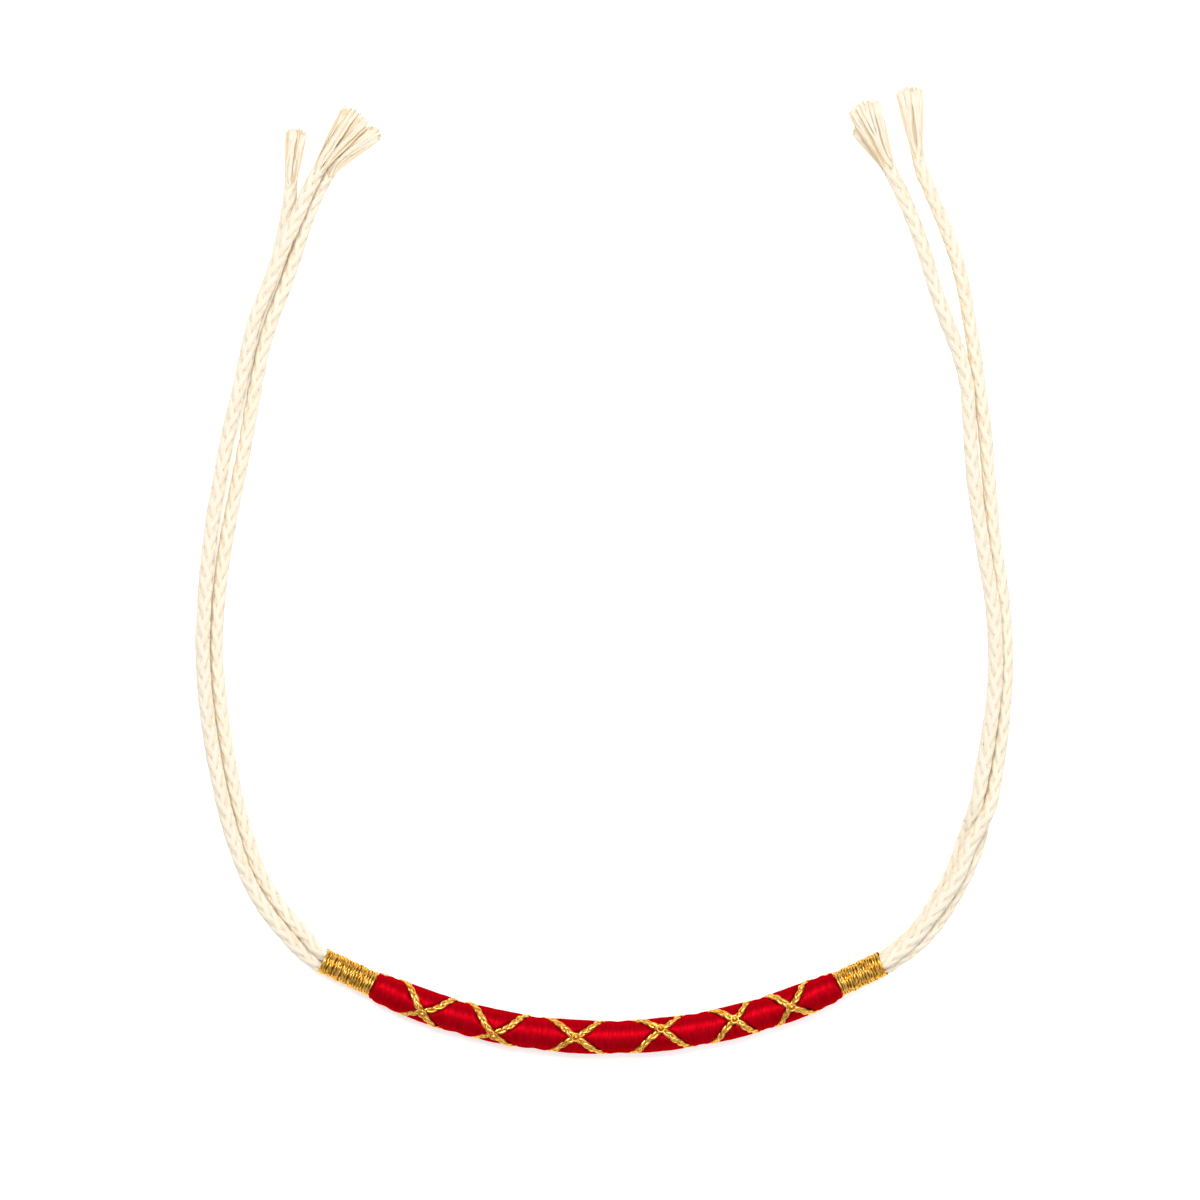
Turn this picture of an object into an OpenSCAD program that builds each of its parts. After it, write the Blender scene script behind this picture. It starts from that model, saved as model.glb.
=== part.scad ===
// Rakhi laid out flat: a silk-wound rod with gold lashings, two gold bindings and six cotton ties.
// Millimetres, +Z up. The rod's bounding box has its centre over the origin and its underside at z = 0.
// +X runs along the rod and +Y runs from the rod towards the ends of the ties.

/* [Rod] */
// Radius of the shallow arc that the rod is bent to
arc_r = 82.7; // [75:0.1:95]
// Half of the angle that the bent, bare silk takes on that arc
silk_half_deg = 25.6; // [22:0.1:28]
// Diameter of the silk between the lashings
silk_d = 5.2; // [4.8:0.1:5.6]
// Diameter of the silk under a binding
neck_d = 3.2; // [3:0.1:3.2]

/* [Bindings] */
// Length of the left gold binding
left_binding_len = 8.5; // [7:0.1:10]
// Length of the right gold binding
right_binding_len = 7.4; // [7:0.1:10]
// Outside diameter of a binding
binding_d = 4; // [3.9:0.1:4.2]
// Thickness of the binding thread
thread_d = 0.47; // [0.4:0.01:0.6]
// Gap between the bound silk and the binding
binding_gap = 0.06; // [0.03:0.01:0.12]

/* [Lashings] */
// Width of the lashing cord
lash_w = 1; // [0.7:0.05:1.1]
// Thickness of the lashing cord across its flat side
lash_t = 0.6; // [0.5:0.05:0.65]
// Distance of a lashing's middle from the rod's axis
lash_r = 2.2; // [2.1:0.01:2.25]
// How far the two lashings part, each way, where they cross
lash_part = 0.4; // [0.36:0.01:0.44]
// Gap between a lashing and the bottom of its dent
dent_gap = 0.28; // [0.26:0.01:0.34]
// Half width of the dent that a lashing makes
dent_w = 0.75; // [0.7:0.05:1]

/* [Cotton ties] */
// Diameter of a braided tie
cord_d = 2; // [1.8:0.05:2]
// Diameter of a tie where the rod squeezes it
cord_squeezed_d = 1.6; // [1.3:0.05:1.6]

/* [Hidden] */

silk_red = "#b3000f";
gold = "#d9a521";
cotton = "#fbeed3";

// The rod lies on the crossings of its lashings
axis_h = lash_r + lash_part + lash_t / 2;
// The rod's axis: an arc, then straight along its tangent under each binding
silk_half = arc_r * silk_half_deg * PI / 180;
function side_of(s) = s < 0 ? -1 : 1;
function bound_len(side) = side < 0 ? left_binding_len : right_binding_len;
// Past each binding the silk ends in a thin rim
rim_len = 0.2;
rim_r = 1.93;
function rod_end(side) = side * (silk_half + bound_len(side) + rim_len);
// The arc's centre, which puts the rod's box evenly about x = 0 and y = 0
arc_x = (bound_len(-1) - bound_len(1)) / 2 * cos(silk_half_deg);
end_back = arc_r * cos(silk_half_deg) - (max(bound_len(-1), bound_len(1)) + rim_len) * sin(silk_half_deg);
arc_y = (arc_r + silk_d / 2 + end_back - rim_r * cos(silk_half_deg)) / 2;

function bend_deg(s) = side_of(s) * min(abs(s), silk_half) / arc_r * 180 / PI;
function straight(s) = side_of(s) * max(abs(s) - silk_half, 0);
function rod_at(s) =
    let (a = bend_deg(s), t = straight(s))
    [arc_x + arc_r * sin(a) + t * cos(a), arc_y - arc_r * cos(a) + t * sin(a), axis_h];
// A point r from the axis: around = 0 is the top, and 90 the side towards the arc's centre
function round_rod(s, r, around) =
    rod_at(s) + r * (sin(around) * [-sin(bend_deg(s)), cos(bend_deg(s)), 0] + [0, 0, cos(around)]);

// Each front crossing of the two lashings: its place along the rod, the phase of their turns there
// and how far the crossing leans from the top of the rod. The first and last rows are the bindings.
PLACE = 0;
PHASE = 1;
LEAN = 2;
crossings = [
    [-silk_half, -275, -10],
    [-28.3, 0, -22],
    [-17.0, 360, -30],
    [-4.6, 720, 2],
    [8.6, 1080, 24],
    [20.1, 1440, 12],
    [29.0, 1800, -4],
    [silk_half, 2075, 0]
];
front_share = 25;
function column(table, key, value) = [for (row = table) [row[key], row[value]]];
phases = column(crossings, PLACE, PHASE);
leans = column(crossings, PLACE, LEAN);
function phase(s) = let (u = lookup(s, phases)) u - front_share * sin(u);
// Where a lashing is round the rod; turn is 1 for one and -1 for the other
function lash_around(s, turn) = lookup(s, leans) + turn * phase(s);

function ease(x) = let (c = min(max(x, 0), 1)) c * c * (3 - 2 * c);
function off_turn(a, period) = let (m = a - period * round(a / period)) abs(m);
// 1 where the lashings cross, 0 where they run apart
parted_deg = 38;
level_deg = 68;
function crossing(s) = 1 - ease((off_turn(phase(s), 180) - parted_deg) / (level_deg - parted_deg));
function lash_at(s, turn) = lash_r - turn * lash_part * crossing(s);

// How the silk swells out of each binding: the distance from the binding, and how much smaller than
// silk_d / 2 its radius is there
FROM_BINDING = 0;
THINNER = 1;
swell = [[0.05, 0.8], [0.5, 0.45], [1.5, 0.26], [3.5, 0.14], [7, 0.08], [silk_half, 0]];
thinning = column(swell, FROM_BINDING, THINNER);
// How far from a lashing's middle a point on the silk is, across the lashing
slope_step = 0.05;
dent_floor = 0.5;
function lash_steep(s, turn) =
    (lash_around(s + slope_step, turn) - lash_around(s - slope_step, turn)) / (2 * slope_step);
function off_lash(s, around, turn) =
    let (steep = lash_r * lash_steep(s, turn) * PI / 180)
    lash_r * off_turn(around - lash_around(s, turn), 360) * PI / 180 / sqrt(1 + steep * steep);
function dent(s, around, turn) =
    let (d = max(off_lash(s, around, turn) - dent_floor * lash_w, 0) / dent_w) exp(-2 * d * d);
function silk_radius(s, around) =
    let (
        full = silk_d / 2 - lookup(silk_half - abs(s), thinning),
        bed = lash_r - lash_part * crossing(s) - lash_t / 2 - dent_gap,
        pressed = max(dent(s, around, 1), dent(s, around, -1))
    )
    min(full, full + (bed - full) * pressed);

// A solid from rings of points, each ring with the same count, closed by a cap at each end
function ring_faces(rings, sides) = concat(
    [[for (j = [0:sides - 1]) j]],
    [for (i = [0:rings - 2], j = [0:sides - 1])
        let (a = i * sides + j, b = i * sides + (j + 1) % sides)
        each [[a, a + sides, b], [b, a + sides, b + sides]]],
    [[for (j = [sides - 1:-1:0]) (rings - 1) * sides + j]]
);
module lofted(rings) {
    sides = len(rings[0]);
    polyhedron([for (ring = rings) each ring], ring_faces(len(rings), sides));
}

silk_sides = 24;
silk_rings = 96;
function silk_around(j) = -360 * j / silk_sides;
function silk_ring(s, r) = [for (j = [0:silk_sides - 1]) round_rod(s, r, silk_around(j))];
function bare_place(i) = -silk_half + 2 * silk_half * i / silk_rings;

module silk_core() {
    left_rim = -silk_half - bound_len(-1) - binding_gap;
    right_rim = silk_half + bound_len(1) + binding_gap;
    left_end = [silk_ring(rod_end(-1), rim_r), silk_ring(left_rim, rim_r), silk_ring(left_rim, neck_d / 2)];
    right_end = [silk_ring(right_rim, neck_d / 2), silk_ring(right_rim, rim_r), silk_ring(rod_end(1), rim_r)];
    bare = [for (i = [1:silk_rings - 1])
        let (s = bare_place(i))
        [for (j = [0:silk_sides - 1])
            let (around = silk_around(j))
            round_rod(s, silk_radius(s, around), around)]];
    color(silk_red)
        lofted(concat(left_end, [silk_ring(-silk_half, neck_d / 2)], bare,
            [silk_ring(silk_half, neck_d / 2)], right_end));
}

// A binding is a sleeve of thread rings, drawn upright and laid along the rod's straight end
module binding(side) {
    bore_r = neck_d / 2 + binding_gap;
    long = bound_len(side);
    turns = round(long / thread_d);
    pitch = long / turns;
    valley_r = (binding_d - pitch) / 2;
    outer_side = [for (i = [0:turns - 1], a = [-90:45:45])
        [valley_r + pitch / 2 * cos(a), (i + 0.5 + 0.5 * sin(a)) * pitch]];
    color(gold)
        translate(rod_at(side * silk_half))
        rotate([0, 0, side * silk_half_deg])
        rotate([0, side * 90, 0])
        rotate_extrude($fn = 48)
        polygon(concat([[bore_r, 0]], outer_side, [[valley_r, long], [bore_r, long]]));
}
module binding_left() { binding(-1); }
module binding_right() { binding(1); }

// A lashing's rings are even steps of its turn apart. Each is taken square to the rod, so that the
// lashing's ends lie flat against the bindings.
lash_sides = 6;
lash_rings = 104;
places = column(crossings, PHASE, PLACE);
solve_steps = 12;
function unphase(p, u, left) = left == 0 ? u : unphase(p, p + front_share * sin(u), left - 1);
function lash_place(i) =
    let (
        edge = silk_half - binding_gap,
        p = phase(-edge) + (phase(edge) - phase(-edge)) * i / lash_rings
    )
    min(max(lookup(unphase(p, p, solve_steps), places), -edge), edge);
module lashing(turn) {
    color(gold)
        lofted([for (i = [0:lash_rings])
            let (
                s = lash_place(i),
                middle = lash_at(s, turn),
                steep = lash_r * lash_steep(s, turn) * PI / 180,
                half_deg = lash_w / 2 * sqrt(1 + steep * steep) / middle * 180 / PI
            )
            [for (j = [0:lash_sides - 1])
                let (a = 360 * j / lash_sides)
                round_rod(s, middle + lash_t / 2 * sin(a) / sin(60),
                    lash_around(s, turn) + half_deg * cos(a))]]);
}
module lashing_a() { lashing(1); }
module lashing_b() { lashing(-1); }

// Where each tie's middle starts on the rod's end, from the rod's axis: towards the hollow side, and up
start_left_1 = [0.6, -0.85];
start_left_2 = [-0.95, -0.1];
start_left_3 = [0.35, 0.95];
start_right_1 = [0.9, -0.45];
start_right_2 = [-0.95, -0.4];
start_right_3 = [0, 1];
start_gap = 0.04;
function tie_start(side, offset) =
    rod_at(rod_end(side) + side * start_gap)
        + [-sin(side * silk_half_deg) * offset[0], cos(silk_half_deg) * offset[0], offset[1]];

// The ties' routes, from near the rod to the start of the frayed end: x, y and height of the tie's middle
left_1 = [
    [-44.5, 7.6, 1.4], [-46.2, 8.6, 1.1], [-48.2, 10, 1], [-50.1, 11.7, 1], [-51.8, 13.7, 1],
    [-53.4, 16.2, 1], [-55.3, 20, 1], [-57.1, 25, 1], [-58.4, 30, 1], [-59.5, 35, 1], [-60.4, 40, 1],
    [-61.1, 45, 1], [-61.5, 50, 1], [-61.7, 55, 1], [-61.4, 60, 1], [-61, 65, 1], [-60.5, 70, 1],
    [-59.8, 75, 1], [-58.9, 80, 1], [-58, 85, 1], [-56.9, 90, 1], [-55.7, 95, 1], [-54.6, 100, 1],
    [-53.4, 105, 1], [-51.5, 110, 1], [-49.9, 115, 1], [-48.8, 120, 1], [-48.2, 123.5, 1],
    [-48, 126.5, 1]
];
left_2 = [
    [-45, 6.8, 2.85], [-46.4, 8.2, 2.9], [-48.2, 9.8, 3], [-50.1, 11.6, 3.05], [-51.8, 13.7, 3.05],
    [-53.4, 16.2, 3.05], [-55.3, 20, 3.05], [-57.1, 25, 3.05], [-58.4, 30, 3.05], [-59.5, 35, 3.05],
    [-60.4, 40, 3.05], [-61.1, 45, 3.05], [-61.5, 50, 3.05], [-61.7, 55, 3.05], [-61.4, 60, 3.05],
    [-61, 65, 3.05], [-60.5, 70, 3.05], [-59.8, 75, 3.05], [-58.9, 80, 3.05], [-58, 85, 3.05],
    [-56.9, 90, 3.05], [-55.7, 95, 3.05], [-54.6, 100, 3.05], [-53.4, 105, 3.05], [-51.4, 110, 3.05],
    [-49.4, 115, 3.05], [-47.2, 120, 3], [-45.1, 125, 2.9], [-43.3, 128.5, 2.8]
];
left_3 = [
    [-44.1, 7.9, 3.8], [-45.4, 9.7, 3.3], [-46.7, 11.2, 2.65], [-48.3, 12.9, 1.8], [-50.2, 15.4, 1.15],
    [-52.9, 20, 1], [-54.7, 25, 1], [-56.2, 30, 1], [-57.3, 35, 1], [-58.2, 40, 1], [-58.9, 45, 1],
    [-59.4, 50, 1], [-59.6, 55, 1], [-59.3, 60, 1], [-58.8, 65, 1], [-58.1, 70, 1], [-57.2, 75, 1],
    [-56.2, 80, 1], [-55.2, 85, 1], [-54.3, 90, 1], [-53.4, 95, 1], [-52.4, 100, 1], [-50.9, 105, 1],
    [-49, 110, 1], [-47.3, 115, 1], [-45.7, 120, 1], [-43.6, 125, 1], [-41.9, 128, 1]
];
right_1 = [
    [44.9, 7.9, 1.6], [46.8, 9.4, 1.1], [48.7, 11.4, 1], [50.5, 13.9, 1], [52.3, 17, 1], [53.9, 20, 1],
    [55.4, 24, 1], [55.9, 25.5, 1.2], [56.3, 27, 1.75], [56.8, 28.5, 2.4], [57.3, 30, 2.95],
    [58, 33, 3.05], [58.6, 36, 3.05], [59.3, 40, 3.05], [59.9, 45, 3.05], [60.3, 50, 3.05],
    [60.3, 55, 3.05], [60, 60, 3.05], [59.3, 65, 3.05], [58.5, 70, 3.05], [57.8, 75, 3.05],
    [57.1, 80, 3.05], [56.6, 85, 3.05], [56.3, 90, 3.05], [56, 95, 3.05], [54.7, 100, 3.05],
    [52.8, 105, 3.05], [51, 110, 3.05], [49.5, 115, 3.05], [47.7, 120, 3.05], [45.6, 125, 3.05],
    [43.7, 129, 3.05]
];
right_2 = [
    [45.5, 6.4, 2.1], [47.9, 8.1, 1.6], [50.2, 10.2, 1.25], [52.3, 12.9, 1.05], [54.2, 16, 1],
    [56.3, 20, 1], [57.8, 24, 1], [58.5, 27, 1], [58.3, 30, 1], [58.1, 33, 1], [58.5, 36, 1],
    [59.2, 40, 1], [59.8, 45, 1], [60.1, 50, 1], [60.1, 55, 1], [59.8, 60, 1], [59.2, 65, 1],
    [58.4, 70, 1], [57.7, 75, 1], [57, 80, 1], [56.6, 85, 1], [56.3, 90, 1], [55.9, 95, 1],
    [54.6, 100, 1], [52.7, 105, 1], [50.9, 110, 1], [49.4, 115, 1], [47.6, 120, 1], [45.5, 125, 1],
    [43.4, 128.7, 1]
];
right_3 = [
    [45.6, 7.7, 3.4], [47.9, 9.8, 3.05], [50.3, 12.8, 2.95], [52.7, 16, 2.9], [55, 20, 2.9],
    [56.5, 24, 2.9], [57.3, 25.5, 3], [58.1, 27, 3.1], [58.9, 28.5, 3.05], [59.6, 30, 2.65],
    [60.3, 33, 1.7], [60.8, 36, 1.1], [61.4, 40, 1], [61.9, 45, 1], [62.2, 50, 1], [62.2, 55, 1],
    [61.9, 60, 1], [61.3, 65, 1], [60.5, 70, 1], [60, 75, 1], [59.6, 80, 1], [59.2, 85, 1],
    [58.7, 90, 1], [58, 95, 1], [57.3, 100, 1], [56.5, 105, 1], [55.6, 110, 1], [54.3, 115, 1],
    [52.5, 120, 1], [50.4, 125, 1], [49, 128.5, 1], [48.4, 131.2, 1]
];

// Sweeping along a list of points
function unit(v) = v / norm(v);
function heading(path, i) = unit(path[min(i + 1, len(path) - 1)] - path[max(i - 1, 0)]);
function across(forward) = unit(cross(forward, [0, 0, 1]));
function tube_ring(middle, forward, r, sides) =
    let (side = across(forward), up = cross(side, forward))
    [for (j = [0:sides - 1]) let (a = 360 * j / sides) middle + r * (sin(a) * side + cos(a) * up)];
function run_to(path, i) = i == 0 ? 0 : run_to(path, i - 1) + norm(path[i] - path[i - 1]);

// A tie starts square to the rod's end, squeezed, and swells to its full diameter further on
cord_sides = 8;
swell_len = 12;
function cord_r(run) =
    (cord_squeezed_d + (cord_d - cord_squeezed_d) * ease(run / swell_len)) / 2;
module tie(side, offset, route) {
    path = concat([tie_start(side, offset)], route);
    leaving = [side * cos(silk_half_deg), sin(silk_half_deg), 0];
    color(cotton)
        lofted([for (i = [0:len(path) - 1])
            tube_ring(path[i], i == 0 ? leaving : heading(path, i), cord_r(run_to(path, i)), cord_sides)]);
}
module cord_left_1() { tie(-1, start_left_1, left_1); }
module cord_left_2() { tie(-1, start_left_2, left_2); }
module cord_left_3() { tie(-1, start_left_3, left_3); }
module cord_right_1() { tie(1, start_right_1, right_1); }
module cord_right_2() { tie(1, start_right_2, right_2); }
module cord_right_3() { tie(1, start_right_3, right_3); }

// Each frayed end: the direction that its yarns spread in, their length, the width over their tips,
// the height of the tips and the number of locks
DIRECTION = 0;
LONG = 1;
WIDE = 2;
TIP_Z = 3;
LOCKS = 4;
fray_left_1 = [84, 7.4, 3, 0.6, 6];
fray_left_2 = [56, 9.6, 5, 1.5, 7];
fray_left_3 = [34, 9.6, 2.6, 0.45, 5];
fray_right_1 = [109, 9.8, 4.4, 1.75, 7];
fray_right_2 = [129, 8, 2.4, 0.5, 5];
fray_right_3 = [97, 9.3, 4, 0.6, 6];
lock_sides = 5;
lock_r = 0.42;
tip_r = 0.3;
head_len = 1.2;
head_end_r = 0.9;
joint_gap = 0.05;
// The locks start inside the head, side by side in two rows, and their lengths are a little uneven
start_in = 0.3;
start_wide = 1.05;
low_row = -0.3;
high_row = 0.35;
uneven = 0.06;
uneven_step = 137;

// One lock: it follows the tie out of the head, then leans out to its tip
bend_share = 0.12;
waist_share = 0.45;
waist_run = 1.08;
module lock(start, forward, tip) {
    bend = start + forward * head_len + (tip - start) * bend_share;
    waist = start + forward * waist_run + (tip - start) * waist_share;
    path = [start, bend, waist, tip];
    radii = [lock_r, lock_r, lock_r, tip_r];
    lofted([for (i = [0:3]) tube_ring(path[i], heading(path, i), radii[i], lock_sides)]);
}
module tuft(route, fray) {
    last = len(route) - 1;
    forward = heading(route, last);
    side = across(forward);
    root = route[last] + joint_gap * forward;
    aim = [cos(fray[DIRECTION]), sin(fray[DIRECTION]), 0];
    broad = [aim[1], -aim[0], 0];
    fall = [0, 0, fray[TIP_Z] - root[2]];
    color(cotton)
        union() {
            lofted([
                tube_ring(root, forward, cord_d / 2, cord_sides),
                tube_ring(root + forward * head_len, forward, head_end_r, cord_sides)
            ]);
            for (i = [0:fray[LOCKS] - 1]) {
                share = i / (fray[LOCKS] - 1) - 0.5;
                row = i % 2 == 0 ? low_row : high_row;
                long = fray[LONG] * (1 + uneven * sin(uneven_step * i));
                start = root + forward * start_in + side * share * start_wide + [0, 0, row];
                tip = root + aim * long + broad * share * (fray[WIDE] - 2 * tip_r) + fall
                    + [0, 0, max(row, 0)];
                lock(start, forward, tip);
            }
        }
}
module tuft_left_1() { tuft(left_1, fray_left_1); }
module tuft_left_2() { tuft(left_2, fray_left_2); }
module tuft_left_3() { tuft(left_3, fray_left_3); }
module tuft_right_1() { tuft(right_1, fray_right_1); }
module tuft_right_2() { tuft(right_2, fray_right_2); }
module tuft_right_3() { tuft(right_3, fray_right_3); }

silk_core();
binding_left();
binding_right();
lashing_a();
lashing_b();
cord_left_1();
cord_left_2();
cord_left_3();
cord_right_1();
cord_right_2();
cord_right_3();
tuft_left_1();
tuft_left_2();
tuft_left_3();
tuft_right_1();
tuft_right_2();
tuft_right_3();
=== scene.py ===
"""A rakhi laid out flat: a rod wound with red silk, crossed gold lashings, two gold bindings and six ties.

Sizes are in millimetres inside the classes and become metres when a mesh is laid.
"""

import logging
import math
from dataclasses import dataclass, field
from enum import Enum

import bmesh
import bpy
import numpy as np
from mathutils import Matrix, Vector


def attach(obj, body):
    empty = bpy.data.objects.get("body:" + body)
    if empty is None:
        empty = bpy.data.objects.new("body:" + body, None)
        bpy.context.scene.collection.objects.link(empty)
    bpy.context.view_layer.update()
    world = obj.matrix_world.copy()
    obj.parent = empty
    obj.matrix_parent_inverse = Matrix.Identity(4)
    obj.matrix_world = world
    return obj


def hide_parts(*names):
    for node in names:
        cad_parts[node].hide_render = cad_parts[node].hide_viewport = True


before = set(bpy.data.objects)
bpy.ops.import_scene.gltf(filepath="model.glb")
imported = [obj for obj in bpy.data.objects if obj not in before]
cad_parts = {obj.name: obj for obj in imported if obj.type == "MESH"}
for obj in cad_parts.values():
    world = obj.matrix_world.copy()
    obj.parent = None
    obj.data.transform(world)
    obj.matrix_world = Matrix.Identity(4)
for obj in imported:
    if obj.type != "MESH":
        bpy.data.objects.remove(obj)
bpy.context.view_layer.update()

MM = 0.001
FULL_TURN = 2 * math.pi
UP = np.array([0.0, 0.0, 1.0])
LOG = logging.getLogger("rakhi")

Colour = tuple[float, float, float]
Point = tuple[float, float, float]
Socket = bpy.types.NodeSocket


class End(Enum):
    """The two ends of the rod."""

    LEFT = -1
    RIGHT = 1


class Turn(Enum):
    """The two ways that the lashings run round the rod."""

    UNDER = 1
    OVER = -1


def unit(rows: np.ndarray) -> np.ndarray:
    """Scales each row to length 1."""
    return rows / np.linalg.norm(rows, axis=-1, keepdims=True)


def ease(share: np.ndarray) -> np.ndarray:
    """Goes smoothly from 0 to 1 as the share does."""
    c = np.clip(share, 0, 1)
    return c * c * (3 - 2 * c)


def any_share(seed: float) -> float:
    """A number between 0 and 1 that differs from one seed to the next."""
    return 0.5 + 0.5 * math.sin(seed)


def hump(away: np.ndarray, width: float) -> np.ndarray:
    """1 where a distance is 0, and falling smoothly to 0 over about twice the width."""
    return np.exp(-((away / width) ** 2))


def waver(run: np.ndarray, pitch: float, seed: float) -> np.ndarray:
    """A smooth, uneven wave between about -1 and 1 that is the same each time.

    Args:
        run: places along a thread.
        pitch: the distance from one crest to about the next.
        seed: any number, so that two threads differ.

    Returns:
        The wave's value at each place.
    """
    a = FULL_TURN * np.asarray(run, float) / pitch
    waves = ((0.5, 1.0, 1.7), (0.3, 1.62, 3.1), (0.2, 2.41, 5.3))
    return sum(height * np.sin(rate * a + lag * seed) for height, rate, lag in waves)


def run_of(line: np.ndarray) -> np.ndarray:
    """The distance along a line at each of its points."""
    return np.concatenate([[0], np.cumsum(np.linalg.norm(np.diff(line, axis=0), axis=1))])


def read_off(places: np.ndarray, run: np.ndarray, rows: np.ndarray) -> np.ndarray:
    """Rows of three numbers at places along a line, between the rows that are known."""
    return np.stack([np.interp(places, run, rows[:, k]) for k in range(3)], -1)


def spaced(line: np.ndarray, count: int) -> np.ndarray:
    """A line's points placed again, evenly along it."""
    run = run_of(line)
    return read_off(np.linspace(0, run[-1], count), run, line)


def axes_on(line: np.ndarray, outward: np.ndarray) -> tuple[np.ndarray, np.ndarray, np.ndarray]:
    """Directions at a line's points, all square to each other.

    Args:
        line: the line's points.
        outward: about the direction that is outward, at each point or at all of them.

    Returns:
        The directions forward, across and outward at each point.
    """
    forward = unit(np.gradient(line, axis=0))
    across = unit(np.cross(forward, outward))
    return forward, across, np.cross(across, forward)


def bend_through(*guides: np.ndarray, steps: int) -> np.ndarray:
    """A smooth bend.

    Args:
        guides: where it starts, the two points that it bends towards, and where it ends.
        steps: how many points it has.

    Returns:
        The bend's points.
    """
    t = np.linspace(0, 1, steps)[:, None]
    start, first, last, tip = guides
    return (1 - t) ** 3 * start + 3 * (1 - t) ** 2 * t * first + 3 * (1 - t) * t**2 * last + t**3 * tip


def deselect_all() -> None:
    """Leaves edit mode and clears the selection."""
    if bpy.context.object and bpy.context.object.mode != "OBJECT":
        bpy.ops.object.mode_set(mode="OBJECT")
    bpy.ops.object.select_all(action="DESELECT")


@dataclass
class Strand:
    """One strand: the line that it follows, and its oval section along that line.

    Attributes:
        line: the strand's middle at each ring.
        outward: the direction that its thin side faces, at each ring or at all of them.
        thick: half of its thickness, at each ring or at all of them.
        wide: half of its width, likewise.
        tone: how light it is, from 0 to 1, and below 0 where it is painted in warm shade, likewise.
        shift: how far its pattern is moved along it.
    """

    line: np.ndarray
    outward: np.ndarray
    thick: float | np.ndarray
    wide: float | np.ndarray
    tone: float | np.ndarray = 0.5
    shift: float = 0.0

    def run(self) -> np.ndarray:
        """The distance along the line at each ring."""
        return run_of(self.line) + self.shift

    def skin(self, sides: int) -> np.ndarray:
        """Points on the strand's surface.

        Args:
            sides: the points in each ring.

        Returns:
            An array of rings, sides and coordinates.
        """
        _, across, outward = axes_on(self.line, self.outward)
        thick, wide = (np.broadcast_to(half, len(self.line))[:, None] for half in (self.thick, self.wide))
        a = FULL_TURN * np.arange(sides) / sides
        return (
            self.line[:, None]
            + (thick * np.cos(a))[..., None] * outward[:, None]
            + (wide * np.sin(a))[..., None] * across[:, None]
        )


@dataclass
class Spool:
    """Models a straight blank tube once, and lays a copy of it along each strand of a piece.

    Attributes:
        sides: the sides of the tube.
        cuts: the cuts that each pass of subdividing makes along it.
    """

    sides: int
    cuts: tuple[int, ...]
    blank: bpy.types.Object = field(init=False)
    ring_of: np.ndarray = field(init=False)
    side_of: np.ndarray = field(init=False)

    def __post_init__(self) -> None:
        """Models the blank."""
        self.blank = self.model()
        self.number()

    @property
    def rings(self) -> int:
        """The rings of points along the tube."""
        return math.prod(cut + 1 for cut in self.cuts) + 1

    def model(self) -> bpy.types.Object:
        """Adds a cylinder and cuts its long edges into rings.

        Returns:
            The blank's object.
        """
        deselect_all()
        bpy.ops.mesh.primitive_cylinder_add(vertices=self.sides, radius=1, depth=1, end_fill_type="NGON")
        blank = bpy.context.object
        bpy.ops.object.mode_set(mode="EDIT")
        bpy.ops.mesh.select_mode(type="EDGE")
        for cut in self.cuts:
            bpy.ops.mesh.select_all(action="DESELECT")
            shape = bmesh.from_edit_mesh(blank.data)
            for edge in shape.edges:
                edge.select = abs(edge.verts[0].co.z - edge.verts[1].co.z) > 1e-5
            bmesh.update_edit_mesh(blank.data)
            bpy.ops.mesh.subdivide(number_cuts=cut)
        bpy.ops.object.mode_set(mode="OBJECT")
        return blank

    def number(self) -> None:
        """Works out which ring and side each of the blank's points belongs to."""
        co = np.empty(len(self.blank.data.vertices) * 3)
        self.blank.data.vertices.foreach_get("co", co)
        co = co.reshape(-1, 3)
        turn = np.arctan2(co[:, 1], co[:, 0]) / FULL_TURN * self.sides
        turn -= turn[0]
        self.ring_of = np.rint((co[:, 2] + 0.5) * (self.rings - 1)).astype(int)
        self.side_of = np.rint(turn).astype(int) % self.sides

    def pattern_map(self, mesh: bpy.types.Mesh, run: np.ndarray) -> None:
        """Gives a strand its own map: once round it, and millimetres along it.

        Args:
            mesh: the strand's mesh.
            run: the distance along the strand at each ring.
        """
        corner = np.empty(len(mesh.loops), int)
        mesh.loops.foreach_get("vertex_index", corner)
        side = self.side_of[corner].astype(float)
        starts = np.empty(len(mesh.polygons), int)
        counts = np.empty(len(mesh.polygons), int)
        mesh.polygons.foreach_get("loop_start", starts)
        mesh.polygons.foreach_get("loop_total", counts)
        quads = starts[counts == 4][:, None] + np.arange(4)
        around = side[quads]
        around[(around == 0) & (around.max(axis=1, keepdims=True) > 1.5)] = self.sides
        side[quads] = around
        layer = mesh.uv_layers.active or mesh.uv_layers.new()
        layer.name = "Thread"
        layer.data.foreach_set("uv", np.stack([side / self.sides, run[self.ring_of[corner]]], 1).ravel())

    def lay(self, skin: np.ndarray, run: np.ndarray, tone: float | np.ndarray) -> bpy.types.Object:
        """Lays one copy of the blank.

        Args:
            skin: the place of each ring's points.
            run: the distance along the strand at each ring.
            tone: the strand's lightness, or that of each ring.

        Returns:
            The laid strand.
        """
        mesh = self.blank.data.copy()
        mesh.vertices.foreach_set("co", (skin[self.ring_of, self.side_of] * MM).ravel())
        self.pattern_map(mesh, run)
        tones = mesh.attributes.new("Tone", "FLOAT", "POINT")
        tones.data.foreach_set("value", np.broadcast_to(tone, (self.rings,))[self.ring_of].astype(float))
        mesh.update()
        strand = bpy.data.objects.new("strand", mesh)
        bpy.context.scene.collection.objects.link(strand)
        return strand

    def wind(self, strands: list[Strand]) -> list[bpy.types.Object]:
        """Lays a copy of the blank along each strand."""
        return [self.lay(one.skin(self.sides), one.run(), one.tone) for one in strands]

    def put_away(self) -> None:
        """Removes the blank once its copies are laid."""
        bpy.data.objects.remove(self.blank)


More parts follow.
